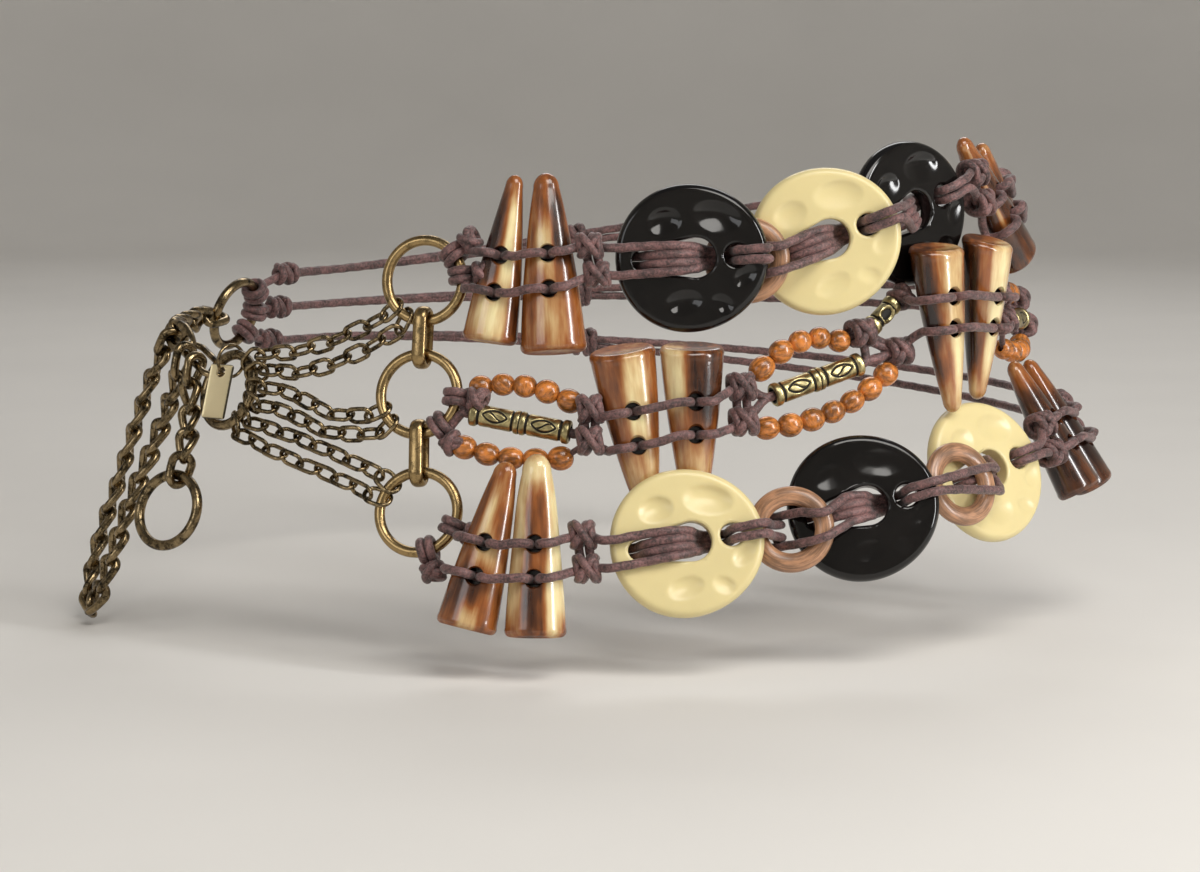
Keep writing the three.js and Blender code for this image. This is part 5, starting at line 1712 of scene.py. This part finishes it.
def floor_finish(colour):
    shader = Shader("floor")
    clouds = shader.noise(shader.place(), 0.01, 2, 0.5)
    return shader.finish(Base_Color=shader.mix(clouds, shade(colour, 0.965), shade(colour)), Roughness=0.85)


def add_light(name, place, size, power, colour):
    data = bpy.data.lights.new(name, "AREA")
    data.shape = "RECTANGLE"
    data.size, data.size_y = size
    data.energy, data.color = power, colour
    light = new_object(name, data)
    light.location = place
    light.rotation_euler = looking(place, LIGHT_AIM)


def looking(place, target):
    """The turn of a light or a camera that looks from one place to another."""
    return (Vector(target) - Vector(place)).to_track_quat("-Z", "Y").to_euler()


def build_floor(settings):
    """A round floor that curves up into a wall along a quarter circle."""
    floor_z = CAD_BOX[0].z / MM - settings.floor_gap / MM
    turn = np.linspace(0, np.pi / 2, 24)
    bend, edge = FLOOR["bend"], FLOOR["flat"] + FLOOR["bend"]
    reach = np.concatenate([[0], FLOOR["flat"] + bend * np.sin(turn), [edge]])[:, None]
    height = np.concatenate([[0], bend - bend * np.cos(turn), [FLOOR["wall"]]])[:, None] + floor_z
    c, s = circle(128)
    mesh = mesh_of("floor", [grid(np.stack([reach * c, reach * s, height + 0 * c], -1), wrap_columns=True)])
    mesh.flip_normals()
    mesh.materials.append(floor_finish(settings.floor))
    mesh.shade_smooth()
    new_object("floor", mesh)


def build_camera(lens):
    data = bpy.data.cameras.new("camera")
    data.sensor_width, data.lens = CAMERA["sensor"], lens
    camera = new_object("camera", data)
    camera.location = CAMERA["location"]
    camera.rotation_euler = looking(CAMERA["location"], CAMERA["aim"])
    bpy.context.scene.camera = camera


def build_stage(settings):
    """The floor, soft lights, an even light from all sides and the camera."""
    build_floor(settings)
    for name, place, size, share, colour in LIGHTS:
        add_light(name, place, size, settings.key_power * share, colour)
    world = bpy.data.worlds.new("studio")
    world.use_nodes = True
    background = world.node_tree.nodes["Background"]
    background.inputs["Color"].default_value = SURROUND_COLOUR
    background.inputs["Strength"].default_value = settings.surround
    bpy.context.scene.world = world
    bpy.context.scene.view_settings.view_transform = "Standard"
    build_camera(settings.lens)


def diameter(name, description, default):
    """A length that a user can change. Its default is given in millimetres."""
    return bpy.props.FloatProperty(
        name=name,
        description=description,
        default=default * MM,
        min=0,
        precision=4,
        subtype="DISTANCE",
        unit="LENGTH",
    )


def amount(name, description, default):
    """A plain number that a user can change."""
    return bpy.props.FloatProperty(name=name, description=description, default=default, min=0)


def tint(name, description, default):
    """A colour that a user can change. Its default is given as red, green and blue from 0 to 255."""
    channels = [channel / 255 for channel in default]
    return bpy.props.FloatVectorProperty(
        name=name, description=description, default=channels, size=3, min=0, max=1, subtype="COLOR_GAMMA"
    )


class BeltSizes(bpy.types.PropertyGroup):
    cord: diameter("Cord", "Diameter of the waxed cord", 2 * CORD_RADIUS)
    bead: diameter("Wooden bead", "Diameter of the wooden beads across their bore", 2 * BEAD_RADIUS)
    ring_wire: diameter("Ring wire", "Diameter of the metal rings' wire", 2 * LADDER_RING["wire"])
    wood_ring_wire: diameter("Wooden ring", "Width of the wooden rings' round", 2 * WOOD_RING["wire"])
    curb_wire: diameter("Extension chain wire", "Diameter of the twisted links' wire", 2.56)
    cable_wire: diameter("Cable chain wire", "Diameter of the oval links' wire", 1.26)
    dents: amount("Dents", "How deep the discs' dents are, as a share of their own depth", 1)


class BeltColours(bpy.types.PropertyGroup):
    brass: tint("Ladder brass", "Rubbed brass of the ladder's rings and connectors", (170, 144, 100))
    bronze: tint("Dark bronze", "Rubbed metal of the chains, the clasp and their rings", (158, 138, 104))
    tag: tint("Tag brass", "Face of the tag", (242, 226, 184))
    tube_brass: tint("Tube brass", "Raised parts of the engraved tubes and the eye bead", (208, 192, 140))
    cord: tint("Cord", "Lit fibres of the waxed cord", (138, 98, 95))
    horn_dark: tint("Horn, dark", "Darkest bands of the horn beads", (34, 15, 9))
    horn_amber: tint("Horn, amber", "Middle bands of the horn beads", (146, 84, 38))
    horn_cream: tint("Horn, cream", "Palest bands of the horn beads", (238, 222, 170))
    black_disc: tint("Black disc", "Lightest part of the black discs", (20, 17, 16))
    cream_disc: tint("Cream disc", "Lightest part of the cream discs", (230, 213, 156))
    bead_wood: tint("Bead wood", "Palest grain of the wooden beads", (222, 136, 62))
    ring_wood: tint("Ring wood", "Palest grain of the wooden rings", (196, 146, 110))


class BeltStage(bpy.types.PropertyGroup):
    floor_gap: diameter("Floor gap", "How far the floor lies below the belt's lowest point", 2)
    floor: tint("Floor", "Lightest part of the floor", (230, 227, 222))
    lens: amount("Lens", "The camera's focal length in millimetres", 98.37)
    key_power: amount("Key light", "The main light's power in watts", 8)
    surround: amount("Surround", "The strength of the light from all sides", 0.15)


class BELT_OT_metal(bpy.types.Operator):
    """Builds the ladder of rings, its connectors and the chains' rings"""

    bl_idname = "belt.metal"
    bl_label = "Rings and connectors"

    def execute(self, context):
        build_metal(context.scene.belt_sizes, context.scene.belt_colours)
        return {"FINISHED"}


class BELT_OT_horns(bpy.types.Operator):
    """Builds the horn beads with their drilled holes"""

    bl_idname = "belt.horns"
    bl_label = "Horn beads"

    def execute(self, context):
        build_horns(context.scene.belt_colours)
        return {"FINISHED"}


class BELT_OT_discs(bpy.types.Operator):
    """Builds the pierced, dented discs"""

    bl_idname = "belt.discs"
    bl_label = "Discs"

    def execute(self, context):
        build_discs(context.scene.belt_sizes, context.scene.belt_colours)
        return {"FINISHED"}


class BELT_OT_wood(bpy.types.Operator):
    """Builds the wooden rings and the rows of wooden beads"""

    bl_idname = "belt.wood"
    bl_label = "Wooden rings and beads"

    def execute(self, context):
        build_wood(context.scene.belt_sizes, context.scene.belt_colours)
        return {"FINISHED"}


class BELT_OT_tubes(bpy.types.Operator):
    """Builds the engraved brass tubes and the eye bead"""

    bl_idname = "belt.tubes"
    bl_label = "Brass tubes"

    def execute(self, context):
        build_tubes(context.scene.belt_colours)
        return {"FINISHED"}


class BELT_OT_cords(bpy.types.Operator):
    """Builds the knotted cords and the beads' threads"""

    bl_idname = "belt.cords"
    bl_label = "Cords"

    def execute(self, context):
        build_cords(context.scene.belt_sizes, context.scene.belt_colours)
        return {"FINISHED"}


class BELT_OT_chains(bpy.types.Operator):
    """Builds the chains, the clasp and the tag"""

    bl_idname = "belt.chains"
    bl_label = "Chains, clasp and tag"

    def execute(self, context):
        build_chains(context.scene.belt_sizes, context.scene.belt_colours)
        return {"FINISHED"}


class BELT_OT_stage(bpy.types.Operator):
    """Builds the floor, the lights and the camera"""

    bl_idname = "belt.stage"
    bl_label = "Stage"

    def execute(self, context):
        build_stage(context.scene.belt_stage)
        return {"FINISHED"}


STEPS = [
    BELT_OT_metal,
    BELT_OT_horns,
    BELT_OT_discs,
    BELT_OT_wood,
    BELT_OT_tubes,
    BELT_OT_cords,
    BELT_OT_chains,
    BELT_OT_stage,
]
GROUPS = {"belt_sizes": BeltSizes, "belt_colours": BeltColours, "belt_stage": BeltStage}


class BELT_PT_panel(bpy.types.Panel):
    """The belt's sizes and colours, and the steps that build it"""

    bl_idname = "BELT_PT_panel"
    bl_label = "Hip belt"
    bl_space_type = "VIEW_3D"
    bl_region_type = "UI"
    bl_category = "Belt"

    def draw(self, context):
        for name, group in GROUPS.items():
            column = self.layout.column()
            for field in group.__annotations__:
                column.prop(getattr(context.scene, name), field)
        for step in STEPS:
            self.layout.operator(step.bl_idname)


CLASSES = [*GROUPS.values(), *STEPS, BELT_PT_panel]


def register():
    """Adds the classes, and the groups of sizes, colours and stage values to the scene."""
    for made in CLASSES:
        bpy.utils.register_class(made)
    for name, group in GROUPS.items():
        setattr(bpy.types.Scene, name, bpy.props.PointerProperty(type=group))


def unregister():
    for name in GROUPS:
        delattr(bpy.types.Scene, name)
    for made in reversed(CLASSES):
        bpy.utils.unregister_class(made)


def main():
    """Builds everything in order."""
    register()
    for step in STEPS:
        group, action = step.bl_idname.split(".")
        getattr(getattr(bpy.ops, group), action)()


if __name__ == "__main__":
    main()
